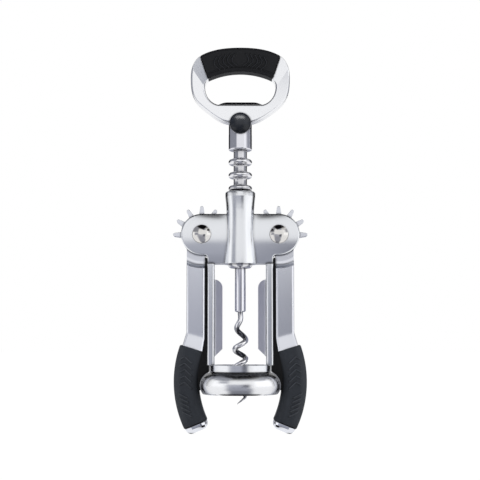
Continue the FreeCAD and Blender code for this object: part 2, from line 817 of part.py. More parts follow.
def cove_cutter():
    # Turned about the pivot: leaves the thin hub clear and rises in a cove to the arm's full depth.
    cove_end = cove_start_radius + cove_width
    deep = 2 * arm_half_depth
    rise = arm_half_depth - hub_half_thickness
    bend = Vec(cove_start_radius + BEND_MIDDLE * cove_width, hub_half_thickness + (1 - BEND_MIDDLE) * rise, 0)
    cutter = turned([
        line(Vec(0, hub_half_thickness, 0), Vec(cove_start_radius, hub_half_thickness, 0)),
        arc(Vec(cove_start_radius, hub_half_thickness, 0), bend, Vec(cove_end, arm_half_depth, 0)),
        line(Vec(cove_end, arm_half_depth, 0), Vec(cove_end, deep, 0)),
        line(Vec(cove_end, deep, 0), Vec(0, deep, 0)),
        line(Vec(0, deep, 0), Vec(0, hub_half_thickness, 0)),
    ], ORIGIN, Y_AXIS)
    cutter.translate(Vec(pivot_offset, 0, pivot_z))
    return cutter


def limb_section(outer, inner, half_depth, corner):
    # Rounded rectangle across the lever, from its outer edge to its inner edge.
    across = (inner - outer).normalize()
    middle = (outer + inner) * 0.5
    half = (inner - outer).Length / 2
    edges = []
    corners = [(1, 1), (-1, 1), (-1, -1), (1, -1)]
    for index, (u, v) in enumerate(corners):
        centre = middle + across * (u * (half - corner)) + Y_AXIS * (v * (half_depth - corner))
        along_u = across * (u * corner)
        along_v = Y_AXIS * (v * corner)
        diagonal = (along_u + along_v) * BEND_MIDDLE
        first, last = (along_u, along_v) if u == v else (along_v, along_u)
        edges.append(arc(centre + first, centre + diagonal, centre + last))
        next_u, next_v = corners[(index + 1) % 4]
        next_centre = middle + across * (next_u * (half - corner)) + Y_AXIS * (next_v * (half_depth - corner))
        edges.append(line(centre + last, next_centre + last))
    return Part.Wire(edges)


def grip_edges():
    # Outer and inner edge of the right grip, as arcs in the XZ plane.
    outer = Part.Arc(
        Vec(grip_top_outer_x, 0, grip_top_outer_z),
        Vec(grip_inner_x + grip_width, 0, grip_middle_z),
        Vec(grip_end_outer_x, 0, grip_end_outer_z))
    inner = Part.Arc(
        Vec(grip_top_inner_x, 0, grip_top_inner_z),
        Vec(grip_inner_x, 0, grip_middle_z),
        Vec(grip_end_inner_x, 0, grip_end_inner_z))
    return outer, inner


def grip_pair(share):
    # Points at one share of the way down both edges.
    points = []
    for edge in grip_edges():
        points.append(edge.value(edge.FirstParameter + share * (edge.LastParameter - edge.FirstParameter)))
    return points


def knee_pair():
    return Vec(arm_outer_x, 0, knee_outer_z), Vec(arm_inner_x, 0, knee_outer_z - knee_inner_drop)


def inset_pair(outer, inner, inset):
    across = (inner - outer).normalize() * inset
    return outer + across, inner - across


def grip_core():
    # Arm metal inside the rubber, rectangular with rounded corners.
    sections = []
    for step in range(grip_stations):
        outer, inner = inset_pair(*grip_pair(step / (grip_stations - 1)), grip_wall)
        sections.append(limb_section(outer, inner, grip_half_depth - grip_wall, arm_round))
    return Part.makeLoft(sections, True, False)


def lever_tip():
    # Metal end below the rubber, domed through sections that shrink along a quarter ellipse.
    outer, inner = inset_pair(*grip_pair(1.0), tip_inset)
    along = (inner - outer).cross(Y_AXIS).normalize()
    sections = []
    for step in range(tip_stations + 1):
        angle = math.pi / 2 * step / tip_stations
        forward = along * (tip_length * math.sin(angle))
        shrink = tip_shrink * (1 - math.cos(angle))
        ends = inset_pair(outer + forward, inner + forward, shrink)
        corner = grip_round - tip_inset - shrink
        sections.append(limb_section(*ends, grip_half_depth - tip_inset - shrink, corner))
    return Part.makeLoft(sections, True, True)


def lever_arm():
    # Right lever: hub with teeth, flat arm, splayed knee, core under the rubber, and domed tip.
    knee_outer, knee_inner = knee_pair()
    grip_outer, grip_inner = grip_pair(0.0)
    grip_outer = inset_pair(grip_outer, grip_inner, knee_inset)[0]
    limb = Part.makeLoft([
        limb_section(Vec(arm_outer_x, 0, pivot_z), Vec(arm_inner_x, 0, pivot_z), arm_half_depth, arm_round),
        limb_section(knee_outer, knee_inner, arm_half_depth, arm_round),
        limb_section(grip_outer, grip_inner, grip_half_depth - knee_inset, arm_round),
    ], True, True)
    cutter = cove_cutter()
    limb = limb.cut(cutter).cut(mirror_y(cutter))
    hub = cross_cylinder(hub_radius, -hub_half_thickness, hub_half_thickness, pivot_offset, pivot_z)
    arm = hub.multiFuse(lever_teeth() + [limb, grip_core(), lever_tip()])
    hole = cross_cylinder(pivot_pin_radius + running_clearance, -2 * hub_half_thickness,
                          2 * hub_half_thickness, pivot_offset, pivot_z)
    return arm.cut(hole)


def bell_clearance():
    # Turned space round the collar and the bell, which the levers' rubber hugs.
    collar_side = collar_radius + lever_gap
    widest, shoulder_middle, shoulder_edge = bell_shoulder(lever_gap)
    foot = Vec(widest.x, 0, -overcut)
    return turned([
        line(Vec(0, 0, -overcut), foot),
        line(foot, widest),
        arc(widest, shoulder_middle, shoulder_edge),
        line(shoulder_edge, Vec(collar_side, 0, shoulder_edge.z)),
        line(Vec(collar_side, 0, shoulder_edge.z), Vec(collar_side, 0, collar_top_z)),
        line(Vec(collar_side, 0, collar_top_z), Vec(0, 0, collar_top_z)),
        line(Vec(0, 0, collar_top_z), Vec(0, 0, -overcut)),
    ])


def grip_flank():
    # Rubber strip up the arm's inner side, and the block below it that hugs the collar and bell.
    strip_top = pivot_z - strip_top_drop
    under_post = collar_top_z - post_gap
    outer_x = grip_inner_x + grip_wall
    outline = polygon([
        Vec(arm_inner_x, 0, strip_top),
        Vec(strip_inner_x, 0, strip_top),
        Vec(strip_inner_x, 0, under_post),
        Vec(post_inner_x, 0, under_post),
        Vec(post_inner_x, 0, flank_bottom_z),
        Vec(outer_x, 0, flank_bottom_z),
        Vec(outer_x, 0, bell_height),
        Vec(arm_inner_x + grip_wall, 0, grip_top_inner_z),
        Vec(arm_inner_x + grip_wall, 0, knee_outer_z - knee_inner_drop),
        Vec(arm_inner_x, 0, knee_outer_z),
    ])
    return prism(outline, -flank_half_depth, flank_half_depth).cut(bell_clearance())


def lever_grip(arm):
    # Rubber sleeve with a flank, moulded round the arm.
    sections = []
    for step in range(grip_stations):
        outer, inner = grip_pair(step / (grip_stations - 1))
        sections.append(limb_section(outer, inner, grip_half_depth, grip_round))
    sleeve = Part.makeLoft(sections, True, False)
    return sleeve.fuse(grip_flank()).cut(arm)


def pivot_washer():
    # Front washer between the hub and the head plate.
    washer = cross_cylinder(washer_radius, -hub_half_thickness - washer_thickness, -hub_half_thickness,
                            pivot_offset, pivot_z)
    return washer.cut(cross_cylinder(pivot_pin_radius + running_clearance, -plate_face_y, 0,
                                     pivot_offset, pivot_z))


def save_lever():
    arm = lever_arm()
    grip = lever_grip(arm)
    washer = pivot_washer()
    pieces = {
        "lever_arm": arm,
        "lever_grip": grip,
        "front_washer": washer,
        "rear_washer": mirror_y(washer),
    }
    for name, piece in pieces.items():
        save(piece, "right_" + name)
        save(mirror_x(piece), "left_" + name)


save(body_casting(), "body_casting")
save(bell_ring(), "bell_ring")
save(pivot_rivet(-pivot_offset), "left_pivot_rivet")
save(pivot_rivet(pivot_offset), "right_pivot_rivet")
save(rack_sleeve(), "rack_sleeve")
save(spindle_shaft(), "spindle_shaft")
save(retaining_ring(), "spindle_retaining_ring")
save(worm(), "worm")
save(cross_pin(), "handle_cross_pin")
save(button_cap(), "front_button_cap")
save(mirror_y(button_cap()), "rear_button_cap")
save(ring_handle(), "ring_handle")
save(ring_grip(), "ring_grip")
save(opener_insert(), "opener_insert")
save_lever()
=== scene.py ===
import json
import math

import bpy
import numpy as np
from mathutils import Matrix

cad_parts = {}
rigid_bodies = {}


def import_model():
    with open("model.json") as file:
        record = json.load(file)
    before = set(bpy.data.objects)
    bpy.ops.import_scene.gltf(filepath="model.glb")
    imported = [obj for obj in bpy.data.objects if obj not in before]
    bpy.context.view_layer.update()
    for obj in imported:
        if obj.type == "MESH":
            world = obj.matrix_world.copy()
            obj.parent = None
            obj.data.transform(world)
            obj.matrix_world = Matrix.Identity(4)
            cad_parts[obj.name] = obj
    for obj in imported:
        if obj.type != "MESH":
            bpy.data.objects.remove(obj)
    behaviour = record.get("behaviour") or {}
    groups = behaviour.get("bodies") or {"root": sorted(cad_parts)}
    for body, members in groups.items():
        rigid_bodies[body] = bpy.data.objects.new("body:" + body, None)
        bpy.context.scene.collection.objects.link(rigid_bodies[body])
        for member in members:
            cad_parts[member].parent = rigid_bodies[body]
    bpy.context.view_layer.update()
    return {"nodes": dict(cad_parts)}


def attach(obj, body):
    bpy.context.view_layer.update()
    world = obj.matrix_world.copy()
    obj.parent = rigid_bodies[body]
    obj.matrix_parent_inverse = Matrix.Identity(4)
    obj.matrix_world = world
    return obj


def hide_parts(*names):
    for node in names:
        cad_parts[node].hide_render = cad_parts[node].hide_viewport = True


for leftover in list(bpy.data.objects):
    bpy.data.objects.remove(leftover)

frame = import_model()
nodes = frame["nodes"]
mm = 0.001
poleRadius = 0.002    # mm, keeps the last ring at a pole from closing on itself
print("frame loaded:", len(nodes), "nodes")


# Colours: sRGB hex to linear.
def linearColour(hexText):
    channels = []
    for start in (0, 2, 4):
        value = int(hexText[start:start + 2], 16) / 255
        channels.append(value / 12.92 if value <= 0.04045 else ((value + 0.055) / 1.055) ** 2.4)
    return (*channels, 1.0)


# Adds one node, sets its properties and plain sockets, and links the rest. A node given as a link stands
# for its first output.
def addNode(tree, kind, settings=None, links=None):
    node = tree.nodes.new("ShaderNode" + kind)
    for key, value in (settings or {}).items():
        if isinstance(key, str) and hasattr(node, key):
            setattr(node, key, value)
        else:
            node.inputs[key].default_value = value
    for key, source in (links or {}).items():
        socket = source.outputs[0] if isinstance(source, bpy.types.Node) else source
        tree.links.new(socket, node.inputs[key])
    return node


def newMaterial(name):
    material = bpy.data.materials.new(name)
    material.use_nodes = True
    material.node_tree.nodes.clear()
    return material, material.node_tree


# Puts points (n, 3) in millimetres and faces into a new mesh object, with its faces turned outwards.
def meshObject(name, points, faces, material, sharpAngle=35.0, uv=None, wearAndShade=None):
    points = np.asarray(points, dtype=float)
    faces = [list(face) for face in faces]
    corners = np.array([[face[0], face[1], face[2], face[-1]] for face in faces])
    a, b, c, d = (points[corners[:, k]] for k in range(4))
    volume = np.einsum("ij,ij->i", a, np.cross(b, c)).sum() + np.einsum("ij,ij->i", a, np.cross(c, d)).sum()
    if volume < 0:
        faces = [face[::-1] for face in faces]
    mesh = bpy.data.meshes.new(name)
    mesh.from_pydata((points * mm).tolist(), [], faces)
    mesh.update()
    if uv is not None:
        layer = mesh.uv_layers.new(name="surface")
        order = np.empty(len(mesh.loops), dtype=np.int32)
        mesh.loops.foreach_get("vertex_index", order)
        layer.data.foreach_set("uv", np.asarray(uv, dtype=np.float32)[order].ravel())
    if wearAndShade is not None:
        field = mesh.attributes.new("wearAndShade", "FLOAT", "POINT")
        field.data.foreach_set("value", np.resize(wearAndShade, len(points)).astype(np.float32))
    mesh.materials.append(material)
    mesh.shade_smooth()
    mesh.set_sharp_from_angle(angle=math.radians(sharpAngle))
    piece = bpy.data.objects.new(name, mesh)
    bpy.context.scene.collection.objects.link(piece)
    return piece


def place(piece, body, replaced):
    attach(piece, body)
    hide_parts(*replaced)
    return piece


# Skin over rings of points (rings, around, 3): each ring closes on itself, and the ends are either
# joined to each other or closed with a fan to the middle of the ring.
def ringSkin(rings, looped=False):
    count, around = rings.shape[:2]
    index = np.arange(count * around).reshape(count, around)
    lower, upper = (index, np.roll(index, -1, axis=0)) if looped else (index[:-1], index[1:])
    quads = np.stack([lower, np.roll(lower, -1, axis=1), np.roll(upper, -1, axis=1), upper],
                     axis=-1).reshape(-1, 4).tolist()
    points = rings.reshape(-1, 3)
    if looped:
        return points, quads
    middles = np.array([rings[0].mean(axis=0), rings[-1].mean(axis=0)])
    startFan = np.stack([np.full(around, len(points)), np.roll(index[0], -1), index[0]], axis=1)
    endFan = np.stack([np.full(around, len(points) + 1), index[-1], np.roll(index[-1], -1)], axis=1)
    return np.vstack([points, middles]), quads + startFan.tolist() + endFan.tolist()


# Turned surface: a profile (radius, height) goes round an axis, point = (radius cos a, radius sin a, height).
def turnedRings(profile, around=200, axis="Z", centre=(0.0, 0.0, 0.0)):
    angle = np.linspace(0, 2 * np.pi, around, endpoint=False)
    radius, height = np.maximum(profile[:, :1], poleRadius), profile[:, 1:2]
    flat = np.stack([radius * np.cos(angle), radius * np.sin(angle), height + 0 * angle], axis=-1)
    if axis == "Y":
        flat = flat[..., [0, 2, 1]]
    return flat + np.array(centre)


# Corner rounding: each corner (a, b, radius) of a line in a plane becomes a circle arc that touches
# both of its sides; the points of the arc come from turning one spoke onto the other.
def roundCorners(corners, steps=7, closed=True):
    corners = np.array(corners, dtype=float)
    spots, radii = corners[:, :2], corners[:, 2]
    share = np.linspace(0, 1, steps)[:, None]
    pieces = []
    for i, (spot, radius) in enumerate(zip(spots, radii)):
        inner = closed or 0 < i < len(spots) - 1
        if radius <= 0 or not inner:
            pieces.append(spot[None])
            continue
        back, ahead = spots[i - 1] - spot, spots[(i + 1) % len(spots)] - spot
        back, ahead = back / np.linalg.norm(back), ahead / np.linalg.norm(ahead)
        half = math.acos(np.clip(back @ ahead, -1, 1)) / 2
        middle = spot + (back + ahead) / np.linalg.norm(back + ahead) * radius / math.sin(half)
        first = spot + back * radius / math.tan(half) - middle
        last = spot + ahead * radius / math.tan(half) - middle
        turn = math.pi - 2 * half
        bow = np.sin((1 - share) * turn) * first + np.sin(share * turn) * last
        pieces.append(middle + bow / math.sin(turn))
    return np.vstack(pieces)


# Points on the circle through three points of a plane, at shares of the angle from the first to the last.
def arcThrough(first, middle, last, share):
    first, middle, last = (np.array(p, dtype=float) for p in (first, middle, last))
    ends = np.array([middle - first, last - first])
    centre = first + np.linalg.solve(2 * ends, (ends ** 2).sum(axis=1))
    angles = np.unwrap([math.atan2(*(p - centre)[::-1]) for p in (first, middle, last)])
    angle = angles[0] + np.asarray(share) * (angles[2] - angles[0])
    radius = np.linalg.norm(first - centre)
    return centre + radius * np.stack([np.cos(angle), np.sin(angle)], axis=-1)


# Rounded rectangle for many stations at once. Half widths a, half depths b and corner radii c give,
# corner by corner, (a - c, b - c) plus c times (cos, sin), with straight runs between; also the normals.
def roundedLoops(a, b, c, arcSteps, widthSteps, depthSteps):
    a, b, c = (np.asarray(v, dtype=float)[:, None] for v in (a, b, c))
    middles = [np.stack([u * (a - c), v * (b - c)], axis=-1) for u, v in ((1, 1), (-1, 1), (-1, -1), (1, -1))]
    spots, normals = [], []
    for quarter, runSteps in enumerate((widthSteps, depthSteps) * 2):
        angle = np.radians(np.linspace(90 * quarter, 90 * quarter + 90, arcSteps))
        direction = np.stack([np.cos(angle) + 0 * a, np.sin(angle) + 0 * a], axis=-1)
        middle, nextMiddle = middles[quarter], middles[(quarter + 1) % 4]
        spots.append(middle + direction * c[..., None])
        normals.append(direction)
        share = np.linspace(0, 1, runSteps + 2)[1:-1, None]
        way = direction[:, -1:, :]
        spots.append(middle + way * c[..., None] + share * (nextMiddle - middle))
        normals.append(np.repeat(way, runSteps, axis=1))
    return np.concatenate(spots, axis=1), np.concatenate(normals, axis=1)


# Smooth ridge: 1 on the nearest of some line pieces (from, to), falling to 0 at a half width,
# as (1 - (distance / half width) squared) squared.
def ridgeField(spots, segments, halfWidth):
    start, end = np.array(segments, dtype=float)[:, 0], np.array(segments, dtype=float)[:, 1]
    nearest = np.full(spots.shape[:-1], np.inf)
    for a, b in zip(start, end):
        along = np.clip(((spots - a) @ (b - a)) / ((b - a) @ (b - a)), 0, 1)
        nearest = np.minimum(nearest, np.linalg.norm(spots - a - along[..., None] * (b - a), axis=-1))
    return np.clip(1 - (nearest / halfWidth) ** 2, 0, 1) ** 2


studio = {
    "cameraDistance": 520.0, "aimX": -0.14, "aimZ": 73.3, "pitch": 5.2, "lens": 81.25,
    "floorZ": -18.75, "floorReach": 3000.0, "floorHex": "F4F4F4", "floorShade": 0.12, "floorGlow": 1.1,
    "roomLight": 0.42, "cardCentre": 70.0, "cardSteps": 25, "sheetLift": 0.3, "sheetGap": 0.2,
}


# The same card on the other side.
def mirroredCard(card):
    near, far = card["turn"]
    return {**card, "turn": (-far, -near)}


# Cards seen only in polished metal. A turn runs from the front towards the right and a lift from level
# upwards, in degrees. Soft gives the shares of a card over which its sides and its ends fade out.
glow = {"lift": (-12, 40), "reach": 1340, "hex": "FFFFFF", "soft": (0.2, 0.15)}
rearSide = {"turn": (98, 152), "lift": (-12, 80), "reach": 1320, "hex": "08080A", "soft": (0.45, 0.1)}
skyCards = {
    "leftGlow": {**glow, "turn": (-96, -34), "strength": 1.2},
    "rightGlow": {**glow, "turn": (34, 116), "strength": 1.3},
    "rearLeftCard": mirroredCard(rearSide), "rearRightCard": rearSide,
    "topCard": {"turn": (-90, 90), "lift": (34, 146), "reach": 1400, "soft": (0.0005, 0.27), "hex": "0C0C0E"},
}
edgeSide = {"turn": (100, 156), "height": (88, 250), "reach": 172, "hex": "0A0A0C", "soft": (0.3, 0.1)}
wallCards = {
    "frontCard": {"turn": (-50, 32), "height": (-50, 98), "reach": 300, "soft": (0.25, 0.2), "hex": "B2B4BE"},
    "frontShade": {"turn": (1, 32), "height": (-50, 98), "reach": 290, "soft": (0.4, 0.2), "hex": "5C5E68"},
    "rearCard": {"turn": (146, 214), "height": (-50, 98), "reach": 300, "soft": (0.25, 0.2), "hex": "A6A8B2"},
    "leftHighCard": {"turn": (-124, -30), "height": (112, 330), "reach": 165, "soft": (0.12, 0.1),
                     "hex": "96989F"},
    "leftLowCard": {"turn": (-72, -26), "height": (62, 118), "reach": 170, "soft": (0.35, 0.12),
                    "hex": "A2A4AE"},
    "facetCard": {"turn": (3, 36), "height": (190, 268), "reach": 165, "soft": (0.2, 0.15), "hex": "9EA2AC"},
    "rightHighCard": {"turn": (40, 132), "height": (112, 200), "reach": 165, "soft": (0.45, 0.1),
                      "hex": "A0A2AA"},
    "leftEdgeCard": mirroredCard(edgeSide), "rightEdgeCard": edgeSide,
}
rivetFlag = {"turn": (14, 66), "distance": (14, 35), "level": 99, "hex": "0A0A0C", "soft": (0.1, 0.1)}
floorCards = {    # a later sheet lies a little above the ones before it
    # nearSheet and underSheet are painted shadow: the floor in the object's shade, as the metal sees it
    "nearSheet": {"turn": (-40, 40), "distance": (2, 120), "hex": "82848C", "soft": (0.25, 0.2)},
    "farSheet": {"turn": (-46, 36), "distance": (40, 330), "hex": "A0A2AC", "soft": (0.25, 0.08)},
    "rearSheet": {"turn": (142, 218), "distance": (30, 330), "hex": "A0A2AC", "soft": (0.25, 0.1)},
    "underSheet": {"turn": (-66, 66), "distance": (-6, 32), "hex": "0A0A0C", "soft": (0.1, 0.2)},
    "leftRivetFlag": mirroredCard(rivetFlag), "rightRivetFlag": rivetFlag,
}
lamps = {
    "leftSoftbox": {"turn": -64, "lift": 14, "distance": 900, "size": (520, 640), "radiance": 1.08},
    "rightSoftbox": {"turn": 70, "lift": 14, "distance": 900, "size": (560, 640), "radiance": 1.25},
    "frontSoftbox": {"turn": -2, "lift": 40, "distance": 950, "size": (800, 460), "radiance": 0.82},
    "buttonLight": {"turn": -4, "lift": 58, "distance": 700, "size": (760, 240), "radiance": 10.0},
}


# 1 where a ray comes from the camera or from polished or clear material, else 0.
def seenDirectly(tree):
    path = addNode(tree, "LightPath")
    seen = addNode(tree, "Math", {"operation": "MAXIMUM"},
                   {0: path.outputs["Is Camera Ray"], 1: path.outputs["Is Glossy Ray"]})
    return addNode(tree, "Math", {"operation": "MAXIMUM"}, {0: seen, 1: path.outputs["Is Transmission Ray"]})


# White where it is seen; the level that lights plain surfaces is lower.
def backdropWorld():
    world = bpy.data.worlds.new("softRoom")
    world.use_nodes = True
    tree = world.node_tree
    tree.nodes.clear()
    white = {"Color": linearColour("FFFFFF")}
    lit = addNode(tree, "Background", {**white, "Strength": studio["roomLight"]})
    shown = addNode(tree, "Background", white)
    mix = addNode(tree, "MixShader", {}, {0: seenDirectly(tree), 1: lit, 2: shown})
    addNode(tree, "OutputWorld", {}, {"Surface": mix})
    bpy.context.scene.world = world


# Matt white paper: white where it is seen, with a share of plain paper left so that shadows stay.
def floorPaper():
    material, tree = newMaterial("mattWhitePaper")
    paper = addNode(tree, "BsdfPrincipled", {"Base Color": linearColour(studio["floorHex"]),
                                             "Roughness": 0.9})
    glow = addNode(tree, "Emission", {"Color": linearColour("FFFFFF"), "Strength": studio["floorGlow"]})
    share = addNode(tree, "Math", {"operation": "MULTIPLY", 1: 1.0 - studio["floorShade"]},
                    {0: seenDirectly(tree)})
    mix = addNode(tree, "MixShader", {}, {0: share, 1: paper, 2: glow})
    addNode(tree, "OutputMaterial", {}, {"Surface": mix})
    return material


# Evenly lit card that fades out towards its edges.
def cardPaint(name, card):
    material, tree = newMaterial(name)
    where = addNode(tree, "TexCoord")
    parts = addNode(tree, "SeparateXYZ", {}, {0: where.outputs["UV"]})
    fades = []
    for axis, soft in enumerate(card["soft"]):
        fold = addNode(tree, "Math", {"operation": "PINGPONG", 1: 0.5}, {0: parts.outputs[axis]})
        fades.append(addNode(tree, "MapRange", {"interpolation_type": "SMOOTHSTEP", "From Max": soft},
                             {"Value": fold}))
    both = addNode(tree, "Math", {"operation": "MULTIPLY"}, {0: fades[0], 1: fades[1]})
    glow = addNode(tree, "Emission", {"Color": linearColour(card["hex"]),
                                      "Strength": card.get("strength", 1.0)})
    clear = addNode(tree, "BsdfTransparent")
    mix = addNode(tree, "MixShader", {}, {0: both, 1: clear, 2: glow})
    addNode(tree, "OutputMaterial", {}, {"Surface": mix})
    return material


# The turn in radians and one more parameter, evenly stepped over a card, each as (steps, steps).
def cardGrid(turn, other):
    steps = studio["cardSteps"]
    return np.meshgrid(np.radians(np.linspace(*turn, steps)), np.linspace(*other, steps), indexing="ij")


# Card: (sin t, -cos t) times the distance across, and a height, for turn t and the other parameter.
def studioCard(name, across, height, turn, card):
    steps = studio["cardSteps"]
    points = np.stack([across * np.sin(turn), -across * np.cos(turn), height], axis=-1).reshape(-1, 3)
    first = (np.arange(steps - 1)[:, None] * steps + np.arange(steps - 1)[None, :]).ravel()
    faces = np.stack([first, first + 1, first + steps + 1, first + steps], axis=1)
    share = np.linspace(0, 1, steps)
    uv = np.stack(np.meshgrid(share, share, indexing="ij"), axis=-1).reshape(-1, 2)
    sheet = meshObject(name, points, faces, cardPaint(name + "Paint", card), uv=uv)
    for ray in ("camera", "diffuse", "shadow", "transmission", "volume_scatter"):
        setattr(sheet, "visible_" + ray, False)


# A lift runs up a dome, a distance out over a level sheet, and a height up a round wall.
def setCards():
    for name, card in skyCards.items():
        turn, lift = cardGrid(card["turn"], np.radians(card["lift"]))
        studioCard(name, card["reach"] * np.cos(lift), card["reach"] * np.sin(lift) + studio["cardCentre"],
                   turn, card)
    lowest = studio["floorZ"] + studio["sheetLift"]
    for count, (name, card) in enumerate(floorCards.items()):
        turn, distance = cardGrid(card["turn"], card["distance"])
        level = card.get("level", lowest + studio["sheetGap"] * count)
        studioCard(name, distance, level + 0 * distance, turn, card)
    for name, card in wallCards.items():
        turn, height = cardGrid(card["turn"], card["height"])
        studioCard(name, card["reach"] + 0 * height, height, turn, card)


# Rectangular lamp aimed at the middle; radiance is how bright its face looks.
def softbox(name, lamp):
    light = bpy.data.lights.new(name, "AREA")
    light.shape = "RECTANGLE"
    light.size, light.size_y = lamp["size"][0] * mm, lamp["size"][1] * mm
    light.energy = lamp["radiance"] * math.pi * light.size * light.size_y
    turn, lift, reach = math.radians(lamp["turn"]), math.radians(lamp["lift"]), lamp["distance"] * mm
    body = bpy.data.objects.new(name, light)
    body.location = (reach * math.cos(lift) * math.sin(turn), -reach * math.cos(lift) * math.cos(turn),
                     studio["cardCentre"] * mm + reach * math.sin(lift))
    body.rotation_euler = (math.pi / 2 - lift, 0, turn)
    bpy.context.scene.collection.objects.link(body)
    return body


buttonParts = bpy.data.collections.new("buttonParts")    # lit by a small lamp of their own


def setCamera():
    lens = bpy.data.cameras.new("camera")
    lens.lens = studio["lens"]
    camera = bpy.data.objects.new("camera", lens)
    pitch = math.radians(studio["pitch"])
    camera.location = (studio["aimX"] * mm, -studio["cameraDistance"] * mm * math.cos(pitch),
                       (studio["aimZ"] - studio["cameraDistance"] * math.sin(pitch)) * mm)
    camera.rotation_euler = (math.pi / 2 + pitch, 0, 0)
    bpy.context.scene.collection.objects.link(camera)
    bpy.context.scene.camera = camera


def setStudio():
    bpy.context.scene.view_settings.view_transform = "Standard"
    backdropWorld()
    reach, low = studio["floorReach"], studio["floorZ"]
    corners = [(-reach, -reach, low), (reach, -reach, low), (reach, reach, low), (-reach, reach, low)]
    meshObject("floor", corners, [(0, 1, 2, 3)], floorPaper())
    setCards()
    made = {name: softbox(name, lamp) for name, lamp in lamps.items()}
    for name in ("leftSoftbox", "rightSoftbox", "frontSoftbox"):
        made[name].visible_glossy = False    # metal shows the cards in their place
    made["buttonLight"].light_linking.receiver_collection = buttonParts
    setCamera()


setStudio()
print("studio set:", len(skyCards) + len(wallCards) + len(floorCards), "cards,", len(lamps), "lamps")


multiply = {"data_type": "RGBA", "blend_type": "MULTIPLY", 0: 1.0}    # makes a Mix node multiply two colours


# A colour that a pattern darkens and lightens, between two shares of it.
def waveringColour(tree, hexText, shares, pattern):
    tone = addNode(tree, "MapRange", {"To Min": shares[0], "To Max": shares[1]}, {"Value": pattern})
    return addNode(tree, "Mix", {**multiply, 6: linearColour(hexText)}, {7: tone}).outputs[2]


# Painted shade: how light a surface stays, 1 where the space around it is open, down to the darkest in a
# crevice.
def paintedCreviceShade(tree, crevice):
    space = addNode(tree, "AmbientOcclusion", {"samples": 6, "Distance": crevice["reach"] * mm})
    return addNode(tree, "MapRange", {"From Min": crevice["closed"], "From Max": crevice["open"],
                                      "To Min": crevice["darkest"]}, {"Value": space.outputs["AO"]})


# Die-cast zinc, blasted and plated with nickel and chrome: a soft mirror with a very fine grain, a slow
# cloud in its shine, and edges a little brighter where handling has polished them. Painted shade darkens
# it in the crevices.
satin = {
    "castings": {
        "castZinc": {"hex": "E4E6EA", "roughness": 0.20, "reach": 1.6},
        "leverZinc": {"hex": "E2E4EB", "roughness": 0.28, "reach": 1.2},
        "handleZinc": {"hex": "F0F1F4", "roughness": 0.22, "reach": 1.2},
        "bellZinc": {"hex": "EAEBEE", "roughness": 0.22, "reach": 13.0, "closed": 0.62},
    },
    "grain": 0.4, "grainHeight": 0.02, "bump": 0.02, "tone": (0.97, 1.02), "cloud": 14.0, "cloudShine": 0.03,
    "edgeRound": 0.3, "edgeTurn": 0.85, "edgeShine": 0.08,
    "crevice": {"closed": 0.45, "open": 0.92, "darkest": 0.04},
    "knee": {"x": 25.5, "z": 28.7, "lean": 0.25, "slope": 0.17, "round": 1.6},    # the arm turns forward here
    "tip": {"top": -10.5, "fade": 0.5, "roughness": -0.2},    # buffed lever ends
    # the wings' blue-grey tint is a painted reflection; their rougher, less metallic skin is the blasted
    # finish
    "wing": {"borders": ((1, 3.0, 1.0), (2, 14.5, 0.5), (2, 59.0, -0.5)),    # axis, place and fade of each
             "roughness": 0.34, "matt": 0.75, "hex": "D3D5E6"},    # left as blasted, behind the worm
    "groove": {"low": 8.0, "high": 9.3, "level": 0.25},    # painted shade in the groove above the bell's shoulder
}


# 1 on the wings, behind their front border and between foot and top, and 0 on the rest of the casting.
def wingMask(tree, axes):
    masks = [addNode(tree, "MapRange", {"From Min": low * mm, "From Max": (low + fade) * mm},
                     {"Value": axes[axis]}) for axis, low, fade in satin["wing"]["borders"]]
    both = addNode(tree, "Math", {"operation": "MULTIPLY"}, {0: masks[0], 1: masks[1]})
    return addNode(tree, "Math", {"operation": "MULTIPLY"}, {0: both, 1: masks[2]})


# Bend of the lever arm: the depth below a line that leans with |x|, rounded where it starts from 0, is the
# height of a bump that turns the surface by its slope.
def kneeBend(tree, axes, relief):
    knee = satin["knee"]
    across = addNode(tree, "Math", {"operation": "ABSOLUTE"}, {0: axes[0]})
    line = addNode(tree, "Math", {"operation": "MULTIPLY_ADD", 1: knee["lean"],
                                  2: (knee["z"] - knee["lean"] * knee["x"]) * mm}, {0: across})
    below = addNode(tree, "Math", {"operation": "SUBTRACT"}, {0: line, 1: axes[2]})
    bend = addNode(tree, "Math", {"operation": "SMOOTH_MAX", 1: 0.0, 2: knee["round"] * mm}, {0: below})
    return addNode(tree, "Bump", {"Strength": 1.0, "Distance": knee["slope"]},
                   {"Height": bend, "Normal": relief})


